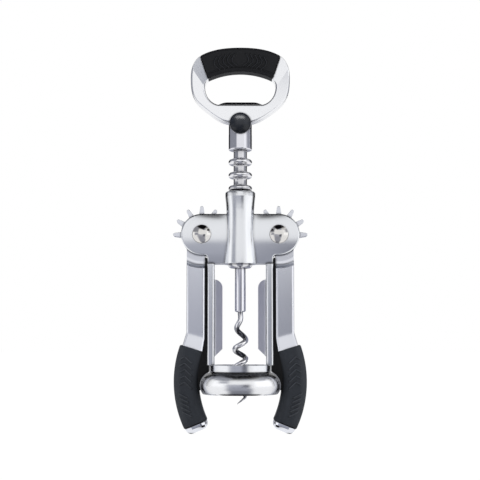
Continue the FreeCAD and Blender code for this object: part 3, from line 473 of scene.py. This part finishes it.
def satinPlate(name):
    material, tree = newMaterial(name + "SatinChrome")
    finish = satin["castings"][name]
    where = addNode(tree, "TexCoord").outputs["Object"]
    axes = addNode(tree, "SeparateXYZ", {}, {0: where}).outputs
    grain = addNode(tree, "TexNoise", {"Scale": 1 / (satin["grain"] * mm), "Detail": 3.0}, {"Vector": where})
    cloud = addNode(tree, "TexNoise", {"Scale": 1 / (satin["cloud"] * mm), "Detail": 2.0}, {"Vector": where})
    softEdge = addNode(tree, "Bevel", {"samples": 6, "Radius": satin["edgeRound"] * mm})
    relief = addNode(tree, "Bump", {"Strength": satin["bump"], "Distance": satin["grainHeight"] * mm},
                     {"Height": grain, "Normal": softEdge})
    flat = addNode(tree, "NewGeometry")
    facing = addNode(tree, "VectorMath", {"operation": "DOT_PRODUCT"},
                     {0: softEdge, 1: flat.outputs["Normal"]})
    worn = addNode(tree, "MapRange", {"From Min": satin["edgeTurn"], "To Min": -satin["edgeShine"],
                                      "To Max": 0.0}, {"Value": facing.outputs["Value"]})
    shine = addNode(tree, "MapRange", {"To Min": finish["roughness"] - satin["cloudShine"],
                                       "To Max": finish["roughness"] + satin["cloudShine"]}, {"Value": cloud})
    rough = addNode(tree, "Math", {"operation": "ADD"}, {0: shine, 1: worn})
    colour = waveringColour(tree, finish["hex"], satin["tone"], grain)
    # painted shade in the crevices
    crevice = paintedCreviceShade(tree, {**satin["crevice"], **finish})
    colour = addNode(tree, "Mix", multiply, {6: colour, 7: crevice})
    extra = {}
    if name == "castZinc":
        wing, mask = satin["wing"], wingMask(tree, axes)
        rough = addNode(tree, "Math", {"operation": "MULTIPLY_ADD", 1: wing["roughness"]},
                        {0: mask, 2: rough})
        # blue-grey tint on the wings: painted reflection
        colour = addNode(tree, "Mix", {"data_type": "RGBA", 7: linearColour(wing["hex"])},
                         {0: mask, 6: colour.outputs[2]})
        matt = addNode(tree, "Math", {"operation": "MULTIPLY_ADD", 1: -wing["matt"], 2: 1.0}, {0: mask})
        extra = {"Metallic": matt}
    if name == "leverZinc":
        tip = satin["tip"]
        buffed = addNode(tree, "MapRange", {"From Min": tip["top"] * mm,
                                            "From Max": (tip["top"] - tip["fade"]) * mm}, {"Value": axes[2]})
        rough = addNode(tree, "Math", {"operation": "MULTIPLY_ADD", 1: tip["roughness"]},
                        {0: buffed, 2: rough})
        relief = kneeBend(tree, axes, relief)
    if name == "bellZinc":
        # painted shade: darker above the bell's shoulder, under the collar
        groove = satin["groove"]
        shoulder = addNode(tree, "MapRange", {"From Min": groove["low"] * mm, "From Max": groove["high"] * mm,
                                              "To Min": 1.0, "To Max": groove["level"]}, {"Value": axes[2]})
        colour = addNode(tree, "Mix", multiply, {6: colour.outputs[2], 7: shoulder})
    shader = addNode(tree, "BsdfPrincipled", {"Metallic": 1.0},
                     {**extra, "Base Color": colour.outputs[2], "Roughness": rough, "Normal": relief})
    addNode(tree, "OutputMaterial", {}, {"Surface": shader})
    return material


# Turned steel, plated bright: a crisp mirror, with faint rings from the lathe and fine handling marks.
# Like the castings, it has painted shade in its crevices.
bright = {
    "steels": {
        "rackSteel": {"hex": "E6E6EA", "roughness": 0.06, "reach": 3.4},
        "shankSteel": {"hex": "DFDFE6", "roughness": 0.09},
        "wormSteel": {"hex": "E8E8EC", "roughness": 0.05},
        "rivetSteel": {"hex": "DCDAD8", "roughness": 0.10},
        # near black: painted shade on the opener lip's face, which lies in shadow
        "openerShadeSteel": {"hex": "131316", "roughness": 0.3},
        "pinSteel": {"hex": "74757A", "roughness": 0.3},
    },
    "rings": 1.6, "ringStretch": (0.15, 0.15, 1.0), "ringHeight": 0.02, "bump": 0.015, "tone": (0.96, 1.02),
    "marks": 5.0, "markFade": (0.4, 0.75), "markShine": 0.05,
    "crevice": {"reach": 1.6, "closed": 0.45, "open": 0.85, "darkest": 0.12},
    # painted shade inside the worm's coil
    "coilShadeHex": "5A5A60", "coilShadeFade": (0.25, 0.75),    # inside the worm's coil
}


def brightChrome(name):
    material, tree = newMaterial(name + "BrightChrome")
    finish = bright["steels"][name]
    where = addNode(tree, "TexCoord").outputs["Object"]
    stretch = addNode(tree, "Mapping", {"Scale": bright["ringStretch"]}, {"Vector": where})
    rings = addNode(tree, "TexNoise", {"Scale": 1 / (bright["rings"] * mm), "Detail": 4.0},
                    {"Vector": stretch})
    marks = addNode(tree, "TexNoise", {"Scale": 1 / (bright["marks"] * mm), "Detail": 6.0,
                                       "Roughness": 0.7}, {"Vector": where})
    rough = addNode(tree, "MapRange", {"From Min": bright["markFade"][0], "From Max": bright["markFade"][1],
                                       "To Min": finish["roughness"],
                                       "To Max": finish["roughness"] + bright["markShine"]}, {"Value": marks})
    colour = waveringColour(tree, finish["hex"], bright["tone"], rings)
    relief = addNode(tree, "Bump", {"Strength": bright["bump"], "Distance": bright["ringHeight"] * mm},
                     {"Height": rings})
    # painted shade in the crevices
    crevice = paintedCreviceShade(tree, {**bright["crevice"], **finish})
    dark = addNode(tree, "Mix", multiply, {6: colour, 7: crevice})
    # Painted shade: darker on the inner side of the coil, where the wire faces the axis.
    if name == "wormSteel":
        outwardShare = addNode(tree, "Attribute", {"attribute_name": "wearAndShade"})    # 1 outside, 0 inside the coil
        coilShadeShare = addNode(tree, "MapRange", {"From Min": bright["coilShadeFade"][0],
                                          "From Max": bright["coilShadeFade"][1], "To Min": 1.0, "To Max": 0.0},
                       {"Value": outwardShare.outputs["Fac"]})
        dark = addNode(tree, "Mix", {**multiply, 7: linearColour(bright["coilShadeHex"])},
                       {0: coilShadeShare, 6: dark.outputs[2]})
    shader = addNode(tree, "BsdfPrincipled", {"Metallic": 1.0},
                     {"Base Color": dark.outputs[2], "Roughness": rough, "Normal": relief})
    addNode(tree, "OutputMaterial", {}, {"Surface": shader})
    return material


# Moulded thermoplastic rubber from a spark-eroded mould: dull charcoal, a pebbled skin that scatters
# light, and paler dust in a slow cloud. The real pebble is near 0.1 mm; it is drawn at 0.28 mm to show.
# The washers are plain nylon from such a mould, a little smoother.
# Painted shade darkens the rubber in its crevices and on the sides of its ribs; the rib crests are lighter,
# partly wear and partly painted highlight.
rubber = {
    "mouldings": {
        "gripTpe": {"hex": "33373E", "roughness": 0.54, "crestWearAndHighlightHex": "4E535C"},
        # near black: painted shade on the grip's flank, in the gap by the post and the bell
        "flankShadeTpe": {"hex": "050608", "roughness": 0.6, "crestWearAndHighlightHex": "050608"},
        "archTpe": {"hex": "15161A", "roughness": 0.56, "crestWearAndHighlightHex": "2E3036"},
        "washerNylon": {"hex": "242427", "roughness": 0.45, "crestWearAndHighlightHex": "242427"},
    },
    "pebble": 0.28, "pebbleHeight": 0.03, "bump": 0.3, "dust": 5.0, "dustShine": (-0.06, 0.08),
    "tone": (0.82, 1.25), "ribSideShade": 0.3,
    "crevice": {"reach": 9.0, "closed": 0.35, "open": 0.9, "darkest": 0.05},
}


def mouldedRubber(name):
    material, tree = newMaterial(name + "Moulded")
    finish = rubber["mouldings"][name]
    where = addNode(tree, "TexCoord").outputs["Object"]
    skin = addNode(tree, "TexVoronoi", {"Scale": 1 / (rubber["pebble"] * mm)}, {"Vector": where})
    dust = addNode(tree, "TexNoise", {"Scale": 1 / (rubber["dust"] * mm), "Detail": 5.0}, {"Vector": where})
    rough = addNode(tree, "MapRange", {"To Min": finish["roughness"] + rubber["dustShine"][0],
                                       "To Max": finish["roughness"] + rubber["dustShine"][1]},
                    {"Value": dust})
    colour = waveringColour(tree, finish["hex"], rubber["tone"], dust)
    # rib crests lighter: partly wear, partly painted highlight
    wearAndShade = addNode(tree, "Attribute", {"attribute_name": "wearAndShade"})    # 1 on the crest of a rib
    crestWearAndHighlight = addNode(tree, "Mix", {"data_type": "RGBA", 7: linearColour(finish["crestWearAndHighlightHex"])},
                      {0: wearAndShade.outputs["Fac"], 6: colour})
    fold = addNode(tree, "Math", {"operation": "PINGPONG", 1: 0.5}, {0: wearAndShade.outputs["Fac"]})
    foot = addNode(tree, "MapRange", {"From Max": 0.5, "To Min": 1.0, "To Max": rubber["ribSideShade"]},
                   {"Value": fold})    # painted shade on a rib's sides, where wearAndShade is near a half
    # painted shade in the crevices and on the sides of the ribs
    both = addNode(tree, "Math", {"operation": "MULTIPLY"},
                   {0: paintedCreviceShade(tree, rubber["crevice"]), 1: foot})
    dark = addNode(tree, "Mix", multiply, {6: crestWearAndHighlight.outputs[2], 7: both})
    relief = addNode(tree, "Bump", {"Strength": rubber["bump"], "Distance": rubber["pebbleHeight"] * mm},
                     {"Height": skin.outputs["Distance"]})
    shader = addNode(tree, "BsdfPrincipled", {"IOR": 1.45, "Specular IOR Level": 0.3},
                     {"Base Color": dark.outputs[2], "Roughness": rough, "Normal": relief})
    addNode(tree, "OutputMaterial", {}, {"Surface": shader})
    return material


# Injection-moulded ABS from a polished mould: deep black, smooth, with a faint flow cloud in its shine.
gloss = {"hex": "10141D", "roughness": 0.28, "flow": 2.5, "flowShine": 0.05, "tone": (0.85, 1.15)}


def polishedAbs():
    material, tree = newMaterial("polishedAbs")
    where = addNode(tree, "TexCoord").outputs["Object"]
    flow = addNode(tree, "TexNoise", {"Scale": 1 / (gloss["flow"] * mm), "Detail": 3.0}, {"Vector": where})
    rough = addNode(tree, "MapRange", {"To Min": gloss["roughness"],
                                       "To Max": gloss["roughness"] + gloss["flowShine"]}, {"Value": flow})
    colour = waveringColour(tree, gloss["hex"], gloss["tone"], flow)
    shader = addNode(tree, "BsdfPrincipled", {"IOR": 1.45, "Specular IOR Level": 0.5},
                     {"Base Color": colour, "Roughness": rough})
    addNode(tree, "OutputMaterial", {}, {"Surface": shader})
    return material


finishes = {name: satinPlate(name) for name in satin["castings"]}
finishes.update({name: brightChrome(name) for name in bright["steels"]})
finishes.update({name: mouldedRubber(name) for name in rubber["mouldings"]})
finishes["polishedAbs"] = polishedAbs()

nodeFinish = {
    "body_casting": "castZinc", "bell_ring": "bellZinc", "ring_handle": "handleZinc",
    "rack_sleeve": "rackSteel", "spindle_shaft": "shankSteel", "worm": "wormSteel",
    "spindle_retaining_ring": "pinSteel", "handle_cross_pin": "pinSteel", "opener_insert": "openerShadeSteel",
    "front_button_cap": "polishedAbs", "rear_button_cap": "polishedAbs", "ring_grip": "archTpe",
}
for sideName in ("left", "right"):
    nodeFinish[sideName + "_lever_arm"] = "leverZinc"
    nodeFinish[sideName + "_lever_grip"] = "gripTpe"
    nodeFinish[sideName + "_pivot_rivet"] = "rivetSteel"
    nodeFinish[sideName + "_front_washer"] = nodeFinish[sideName + "_rear_washer"] = "washerNylon"
for nodeName, finishName in nodeFinish.items():
    for materialSlot in nodes[nodeName].material_slots:
        materialSlot.material = finishes[finishName]
print("finishes given to", len(nodeFinish), "nodes")


bell = {
    "bore": 15.2, "rimInside": 15.5, "rimOutside": 17.7, "rimBevel": 0.3, "rimRounds": (0.12, 0.25),
    "heel": (18.2, 0.6), "widest": (19.2, 4.1), "shoulder": (15.5, 10.1), "edgeRound": 0.3,
    "bendSteps": 26, "around": 320,
}


# Circle arc that is upright at the widest line and ends at a given edge; grow moves it outwards.
def bellBend(edge, grow=0.0):
    across, along = bell["widest"][0] - edge[0], edge[1] - bell["widest"][1]
    bend = (across ** 2 + along ** 2) / (2 * across)
    angle = np.linspace(0, math.asin(along / bend), bell["bendSteps"])
    return np.stack([bell["widest"][0] - bend + (bend + grow) * np.cos(angle),
                     bell["widest"][1] + (bend + grow) * np.sin(angle)], axis=1)


# Bell: rim, heel bevel, two tangent arcs up the side, and the bore, turned about Z.
def bellRing(material):
    side = np.vstack([bellBend(bell["heel"])[::-1], bellBend(bell["shoulder"])[1:]])
    rounds = np.zeros(len(side))
    rounds[[0, -1]] = bell["edgeRound"]
    line = [(bell["bore"], bell["rimBevel"], 0), (bell["rimInside"], 0, bell["rimRounds"][0]),
            (bell["rimOutside"], 0, bell["rimRounds"][1]), *np.column_stack([side, rounds]),
            (bell["bore"], bell["shoulder"][1], 0)]
    points, faces = ringSkin(turnedRings(roundCorners(line), bell["around"]), looped=True)
    return meshObject("bellRing", points, faces, material)


rack = {
    "bottom": 59.6, "top": 116.5, "core": 3.3, "ring": 5.8, "thickness": 3.1, "firstRing": 72.5, "pitch": 6.4,
    "rings": 7, "collarTop": 63.0, "collarRound": 1.8, "collarEdge": 0.35, "bore": 2.65, "recess": 3.35,
    "recessTop": 61.4, "filletRound": 0.45, "topRound": 0.15, "edgeRound": 0.1, "beadSteps": 23,
    "around": 160,
}


# Rack: a turned core with half-round beads, radius = bead centre + half thickness times cos,
# and small fillets where each bead meets the core.
def ringedRack(material):
    half = rack["thickness"] / 2
    angle = np.radians(np.linspace(-90, 90, rack["beadSteps"]))
    line = [(rack["recess"], rack["bottom"], rack["edgeRound"]),
            (rack["ring"], rack["bottom"], rack["collarRound"]),
            (rack["ring"], rack["collarTop"], rack["collarEdge"]),
            (rack["core"], rack["collarTop"], rack["filletRound"])]
    for z in rack["firstRing"] + rack["pitch"] * np.arange(rack["rings"]):
        line.append((rack["core"], z - half, rack["filletRound"]))
        line += [(rack["ring"] - half + half * math.cos(a), z + half * math.sin(a), 0) for a in angle]
        line.append((rack["core"], z + half, rack["filletRound"]))
    line += [(rack["core"], rack["top"], rack["topRound"]), (rack["bore"], rack["top"], rack["edgeRound"]),
             (rack["bore"], rack["recessTop"], 0), (rack["recess"], rack["recessTop"], 0)]
    points, faces = ringSkin(turnedRings(roundCorners(line), rack["around"]), looped=True)
    return meshObject("ringedRack", points, faces, material)


# Dome from an edge to its middle: part of a sphere that goes through a rim at the base and the top.
def domeProfile(edge, rim, base, top, steps):
    height = top - base
    sphere = (rim ** 2 + height ** 2) / (2 * height)
    r = np.linspace(edge, 0, steps)
    return r, top - sphere + np.sqrt(sphere ** 2 - r ** 2)


rivet = {
    "x": 18.4, "z": 75.7, "seat": 5.4, "head": 4.4, "height": 1.7, "shank": 2.5, "rimBevel": (0.1, 0.07),
    "domeInset": 0.12, "dimple": 1.5, "dimpleDepth": 0.04, "domeSteps": 44, "around": 128,
}


# Rivet: a domed head at each end of a shank, with a peened mark in the middle of the dome,
# depth times (1 + cos(pi r / dimple radius)) / 2.
def pivotRivet(name, x, material):
    size, seat = rivet["head"], rivet["seat"]
    r, dome = domeProfile(size - rivet["domeInset"], size, seat, seat + rivet["height"], rivet["domeSteps"])
    dome -= rivet["dimpleDepth"] * (1 + np.cos(np.pi * np.minimum(r / rivet["dimple"], 1))) / 2
    inset, lift = rivet["rimBevel"]
    head = np.vstack([[rivet["shank"], seat], [size - inset, seat], [size, seat + lift],
                      np.stack([r, dome], axis=1)])
    profile = np.vstack([head[::-1] * (1, -1), head])
    points, faces = ringSkin(turnedRings(profile, rivet["around"], "Y", (x, 0, rivet["z"])))
    return meshObject(name, points, faces, material)


button = {
    "z": 129.05, "radius": 5.1, "base": 5.9, "footRound": 0.1, "rim": 6.47, "rimRound": 0.14, "rimTop": 6.35,
    "top": 8.2, "seam": 0.32, "seamRound": 0.02, "seamDepth": 0.04, "domeSteps": 48, "around": 160,
}


# Button: a short wall with a rounded rim, a fine step, and a dome.
def buttonCap(name, side, material):
    dish = button["radius"] - button["seam"]
    dome = domeProfile(dish, dish, button["rimTop"], button["top"], button["domeSteps"])
    wall = roundCorners([(0, button["base"], 0), (button["radius"], button["base"], button["footRound"]),
                         (button["radius"], button["rim"], button["rimRound"]),
                         (dish + button["seamRound"], button["rim"], button["seamRound"]),
                         (dish, button["rimTop"] - button["seamDepth"], 0)], closed=False)
    profile = np.vstack([wall, np.stack(dome, axis=1)]) * (1, side)
    points, faces = ringSkin(turnedRings(profile, button["around"], "Y", (0, 0, button["z"])))
    return meshObject(name, points, faces, material, sharpAngle=50.0)


# Length travelled along a line up to each of its points.
def lengthAlong(line):
    return np.concatenate([[0], np.cumsum(np.linalg.norm(np.diff(line, axis=0), axis=1))])


wire = {
    "radius": 1.25, "helix": 2.6, "pitch": 8.9, "leadPitch": 12.6, "leadLength": 12.3, "root": 49.8,
    "shankEnd": 38.8, "tip": -4.9, "pointLength": 11.0, "pointRadius": 0.15, "pointPull": 0.9,
    "firstTurn": 25.5, "rootStations": 12, "stations": 520, "around": 36, "axisFade": 0.3,
}


# Centre line of the worm: (R cos a, R sin a, z), where R swings out as 3 s^2 - 2 s^3 over the lead and
# is drawn in by the square of the way into the last turn, and a grows by one turn in each pitch.
def wormLine(z):
    out = np.clip((wire["shankEnd"] - z) / wire["leadLength"], 0, 1)
    back = np.clip((wire["tip"] + wire["pitch"] - z) / wire["pitch"], 0, None)
    reach = wire["helix"] * out * out * (3 - 2 * out) - wire["pointPull"] * back * back
    rise = z - wire["firstTurn"]
    angle = 2 * np.pi * rise / np.where(rise > 0, wire["leadPitch"], wire["pitch"])
    return np.stack([reach * np.cos(angle), reach * np.sin(angle), z], axis=-1)


# Worm: a circle carried along its centre line, centre + r (n cos t + m sin t), with n and m square to
# the line, and r shrinking evenly over the point. Its wearAndShade value is 1 away from the axis and 0
# towards it; the worm's finish paints shade inside the coil with it.
def openWorm(material):
    z = np.concatenate([np.linspace(wire["root"], wire["shankEnd"], wire["rootStations"])[:-1],
                        np.linspace(wire["shankEnd"], wire["tip"], wire["stations"])])
    centre = wormLine(z)
    centre[z > wire["shankEnd"], :2] = 0
    along = np.gradient(centre, axis=0)
    along /= np.linalg.norm(along, axis=1, keepdims=True)
    n = np.array([1.0, 0, 0]) - along[:, :1] * along
    n /= np.linalg.norm(n, axis=1, keepdims=True)
    m = np.cross(along, n)
    travelled = lengthAlong(centre)
    left = np.clip((travelled[-1] - travelled) / wire["pointLength"], 0, 1)
    radius = wire["pointRadius"] + (wire["radius"] - wire["pointRadius"]) * left
    turn = np.linspace(0, 2 * np.pi, wire["around"], endpoint=False)
    rings = centre[:, None] + radius[:, None, None] * (n[:, None] * np.cos(turn)[None, :, None]
                                                       + m[:, None] * np.sin(turn)[None, :, None])
    outward = centre * (1, 1, 0) / (np.linalg.norm(centre[:, :2], axis=1, keepdims=True) + wire["axisFade"])
    outwardShare = 0.5 + 0.5 * np.einsum("rak,rk->ra", (rings - centre[:, None]) / radius[:, None, None], outward)
    points, faces = ringSkin(rings)
    return meshObject("openWorm", points, faces, material, wearAndShade=np.concatenate([outwardShare.ravel(), [0.5, 0.5]]))


ribFace = {"from": 0.3, "over": 0.5, "sharpAngle": 55.0}    # ribs grow as a normal turns to the front or rear


# Ribbed rubber: a rounded rectangle at each station across an outer and an inner curve, drawn in at both
# ends as a quarter round. Ribs stand out along the surface's normal on the front and the rear. The face
# between them is lowered, so that their crests stay in size. Its wearAndShade value is the square of a
# rib's height: the finish lightens the crests with it, partly wear and partly painted highlight, and
# paints shade on the rib sides.
def ribbedRubber(name, outer, inner, shape, ribs, material, side=1):
    middle, half = (outer + inner) / 2, (outer - inner) / 2
    a = np.linalg.norm(half, axis=1)
    across = half / a[:, None]
    length, edge = lengthAlong(middle), shape["edgeRound"]
    fromEnd = np.minimum(length, length[-1] - length)
    drawn = edge - np.sqrt(np.clip(edge ** 2 - np.clip(edge - fromEnd, 0, None) ** 2, 0, None))
    spots, normals = roundedLoops(a - drawn, shape["halfDepth"] - drawn, shape["corner"] + 0 * a,
                                  *shape["loopSteps"])
    facing = np.clip((np.abs(normals[..., 1]) - ribFace["from"]) / ribFace["over"], 0, 1)
    flat = middle[:, None] + across[:, None] * spots[..., :1]
    ridge = ridgeField(flat, ribs, shape["ribHalfWidth"]) * facing
    lift = shape["ribHeight"] * (ridge - facing)
    if "bead" in shape:    # a groove along the inner curve, depth times (1 - (distance / half width)^2)^2
        bead = shape["bead"]
        away = np.abs(spots[..., 0] + a[:, None] - bead["inset"]) / bead["halfWidth"]
        lift -= bead["depth"] * np.clip(1 - away ** 2, 0, 1) ** 2 * facing
    spots = spots + normals * lift[..., None]
    flat = middle[:, None] + across[:, None] * spots[..., :1]
    points, faces = ringSkin(np.stack([side * flat[..., 0], spots[..., 1], flat[..., 1]], axis=-1))
    wearAndShade = np.concatenate([ridge.ravel() ** 2, [0, 0]])
    return meshObject(name, points, faces, material, sharpAngle=ribFace["sharpAngle"], wearAndShade=wearAndShade)


grip = {
    "outer": ((28.4, 23.4), (31.4, 6.0), (26.2, -16.4)), "inner": ((17.7, 20.0), (19.7, 6.0), (15.5, -12.0)),
    "halfDepth": 7.0, "corner": 3.6, "edgeRound": 0.75, "stations": 230, "loopSteps": (22, 34, 26),
    "ribHeight": 0.5, "ribHalfWidth": 0.68, "ribs": 5,
    "upperRib": ((28.3, 16.5), (26.1, 17.7), (22.9, 14.7)), "upperStep": (0.0, -2.95),
    "lowerRib": ((28.8, 0.5), (24.9, -1.4)), "lowerStep": (-0.5, -2.15),
}


# Grip sleeve: ribbed rubber between two circle arcs, with bent ribs above and straight ones below.
def gripSleeve(name, side, material):
    share = np.linspace(0, 1, grip["stations"])
    ribs = []
    for step in range(grip["ribs"]):
        upper = np.array(grip["upperRib"]) + step * np.array(grip["upperStep"])
        lower = np.array(grip["lowerRib"]) + step * np.array(grip["lowerStep"])
        ribs += [(upper[0], upper[1]), (upper[1], upper[2]), (lower[0], lower[1])]
    outer, inner = arcThrough(*grip["outer"], share), arcThrough(*grip["inner"], share)
    return ribbedRubber(name, outer, inner, grip, ribs, material, side)


flank = {
    "halfDepth": 4.6, "bottom": 1.6, "top": 64.5, "underPost": 13.5, "bellGap": 0.35, "collarSide": 15.35,
    "postSide": 15.9, "edgeRound": 0.3, "stations": (70, 60), "postStep": (0.01, 0.3), "around": 41,
    "outline": ((1.6, 21.7), (10.1, 21.7), (20.0, 18.7), (26.2, 18.7), (29.0, 16.7), (64.5, 16.7)),
}


# Flank of the grip: at each height a loop between the outline on the arm's side and the inner side,
# which follows the bell and the collar as x = sqrt(R(z)^2 - y^2) and then the flat of the post.
def gripFlank(name, side, material):
    z = np.concatenate([np.linspace(flank["bottom"], flank["underPost"], flank["stations"][0]),
                        [flank["underPost"] + flank["postStep"][0]],
                        np.linspace(flank["underPost"] + flank["postStep"][1], flank["top"],
                                    flank["stations"][1])])
    bend = bellBend(bell["shoulder"], flank["bellGap"])
    reach = np.interp(z, bend[:, 1], bend[:, 0])
    reach = np.where(z > bend[-1, 1], flank["collarSide"], reach)
    y = flank["halfDepth"] * np.sin(np.linspace(-np.pi / 2, np.pi / 2, flank["around"]))
    soft = np.clip((np.abs(y) - flank["halfDepth"] + flank["edgeRound"]) / flank["edgeRound"], 0, 1)
    soft = flank["edgeRound"] * (1 - np.sqrt(1 - soft ** 2))
    onPost = (z > flank["underPost"])[:, None]
    inner = np.where(onPost, flank["postSide"], np.sqrt(reach[:, None] ** 2 - y[None] ** 2)) + soft
    outline = np.array(flank["outline"])
    outer = np.repeat(np.interp(z, outline[:, 0], outline[:, 1])[:, None], len(y), axis=1)
    loop = np.concatenate([inner, outer[:, ::-1]], axis=1)
    depth = np.broadcast_to(np.concatenate([y, y[::-1]]), loop.shape)
    rings = np.stack([side * loop, depth, np.broadcast_to(z[:, None], loop.shape)], axis=-1)
    points, faces = ringSkin(rings)
    return meshObject(name, points, faces, material)


arch = {
    "crown": 166.65, "halfWidth": 23.95, "height": 37.6, "flatten": (0.1, 0.1),
    "holeTop": 154.85, "sag": (0.0137, 0.0000035), "foot": (15.0, 149.95), "head": (20.6, 167.65),
    "halfDepth": 4.6, "corner": 1.6, "edgeRound": 0.0, "stations": 250, "endSteps": 400,
    "loopSteps": (14, 70, 26), "bead": {"inset": 2.1, "depth": 0.3, "halfWidth": 0.65},
    "ribHeight": 0.5, "ribHalfWidth": 0.62, "ribs": 5, "firstRib": 3.6, "ribStep": 2.15,
    "ribBow": ((-0.9, 0.72), (0.5, 0.52), (0.1, 0.38), (-2.3, 0.22)),    # aside, and a share of the way up
}


# Upper edge of the arch: z = crown - height (f u^2 + g u^4), where u = |x| / half width.
def archOuter(x):
    u = np.abs(x) / arch["halfWidth"]
    return arch["crown"] - arch["height"] * (arch["flatten"][0] * u ** 2 + arch["flatten"][1] * u ** 4)


# Lower edge, over the finger hole: z = top - k x^2 - m x^4.
def archInner(x):
    return arch["holeTop"] - arch["sag"][0] * x ** 2 - arch["sag"][1] * x ** 4


# Where an edge of the arch meets the leaning end line from foot to head.
def archEnd(edge):
    line = np.linspace(0, 1, arch["endSteps"])[:, None]
    x, z = (np.array(arch["foot"]) + line * (np.array(arch["head"]) - np.array(arch["foot"]))).T
    return x[np.argmin(np.abs(z - edge(x)))]


# Rubber arch: ribbed rubber between its two edges, fanned so that its ends lie on the leaning end lines,
# with curved ribs on both sides of the middle and a bead along its lower edge.
def rubberArch(material):
    share = np.linspace(-1, 1, arch["stations"])
    edges, ribs = [], []
    for edge in (archOuter, archInner):
        x = share * archEnd(edge)
        edges.append(np.stack([x, edge(x)], axis=1))
    for side in (-1, 1):
        for x in arch["firstRib"] + arch["ribStep"] * np.arange(arch["ribs"]):
            low, tall = archInner(x), archOuter(x) - archInner(x)
            bow = [np.array([side * (x + aside), low + up * tall]) for aside, up in arch["ribBow"]]
            ribs += list(zip(bow[:-1], bow[1:]))
    return ribbedRubber("rubberArch", *edges, arch, ribs, material)


lip = {
    "low": 136.05, "flat": 138.65, "top": 140.25, "halfTop": 6.3, "halfFoot": 11.5, "halfThickness": 1.1,
    "corner": 0.5, "stations": 140, "loopSteps": (8, 6, 3),
}


# Opener lip: a rounded bar along X whose top is flat + (top - flat) sin(w pi / 2), where w goes from 0 at
# its ends to 1 at the raised middle.
def openerLip(material):
    x = lip["halfFoot"] * np.sin(np.linspace(-np.pi / 2, np.pi / 2, lip["stations"]))
    way = np.clip((lip["halfFoot"] - np.abs(x)) / (lip["halfFoot"] - lip["halfTop"]), 0, 1)
    top = lip["flat"] + (lip["top"] - lip["flat"]) * np.sin(way * np.pi / 2)
    half = (top - lip["low"]) / 2
    same = np.ones_like(half)
    spots, _ = roundedLoops(half, lip["halfThickness"] * same, lip["corner"] * same, *lip["loopSteps"])
    rings = np.stack([np.broadcast_to(x[:, None], spots.shape[:2]), spots[..., 1],
                      ((top + lip["low"]) / 2)[:, None] + spots[..., 0]], axis=-1)
    points, faces = ringSkin(rings)
    return meshObject("openerLip", points, faces, material, sharpAngle=45.0)


place(bellRing(finishes["bellZinc"]), "frame", ["bell_ring"])
place(ringedRack(finishes["rackSteel"]), "rack", ["rack_sleeve"])
place(openWorm(finishes["wormSteel"]), "spindle", ["worm"])
place(rubberArch(finishes["archTpe"]), "spindle", ["ring_grip"])
place(openerLip(finishes["openerShadeSteel"]), "spindle", ["opener_insert"])
for capName, capSide in (("front", -1), ("rear", 1)):
    cap = place(buttonCap(capName + "Button", capSide, finishes["polishedAbs"]), "spindle",
                [capName + "_button_cap"])
    buttonParts.objects.link(cap)
for sideName, side in (("left", -1), ("right", 1)):
    place(pivotRivet(sideName + "Rivet", side * rivet["x"], finishes["rivetSteel"]), "frame",
          [sideName + "_pivot_rivet"])
    for gripPiece in (gripSleeve(sideName + "GripSleeve", side, finishes["gripTpe"]),
                      gripFlank(sideName + "GripFlank", side, finishes["flankShadeTpe"])):
        place(gripPiece, sideName + "_lever", [sideName + "_lever_grip"])
        gripPiece.visible_glossy = False    # keeps the bell's ends from turning black
print("pieces made")
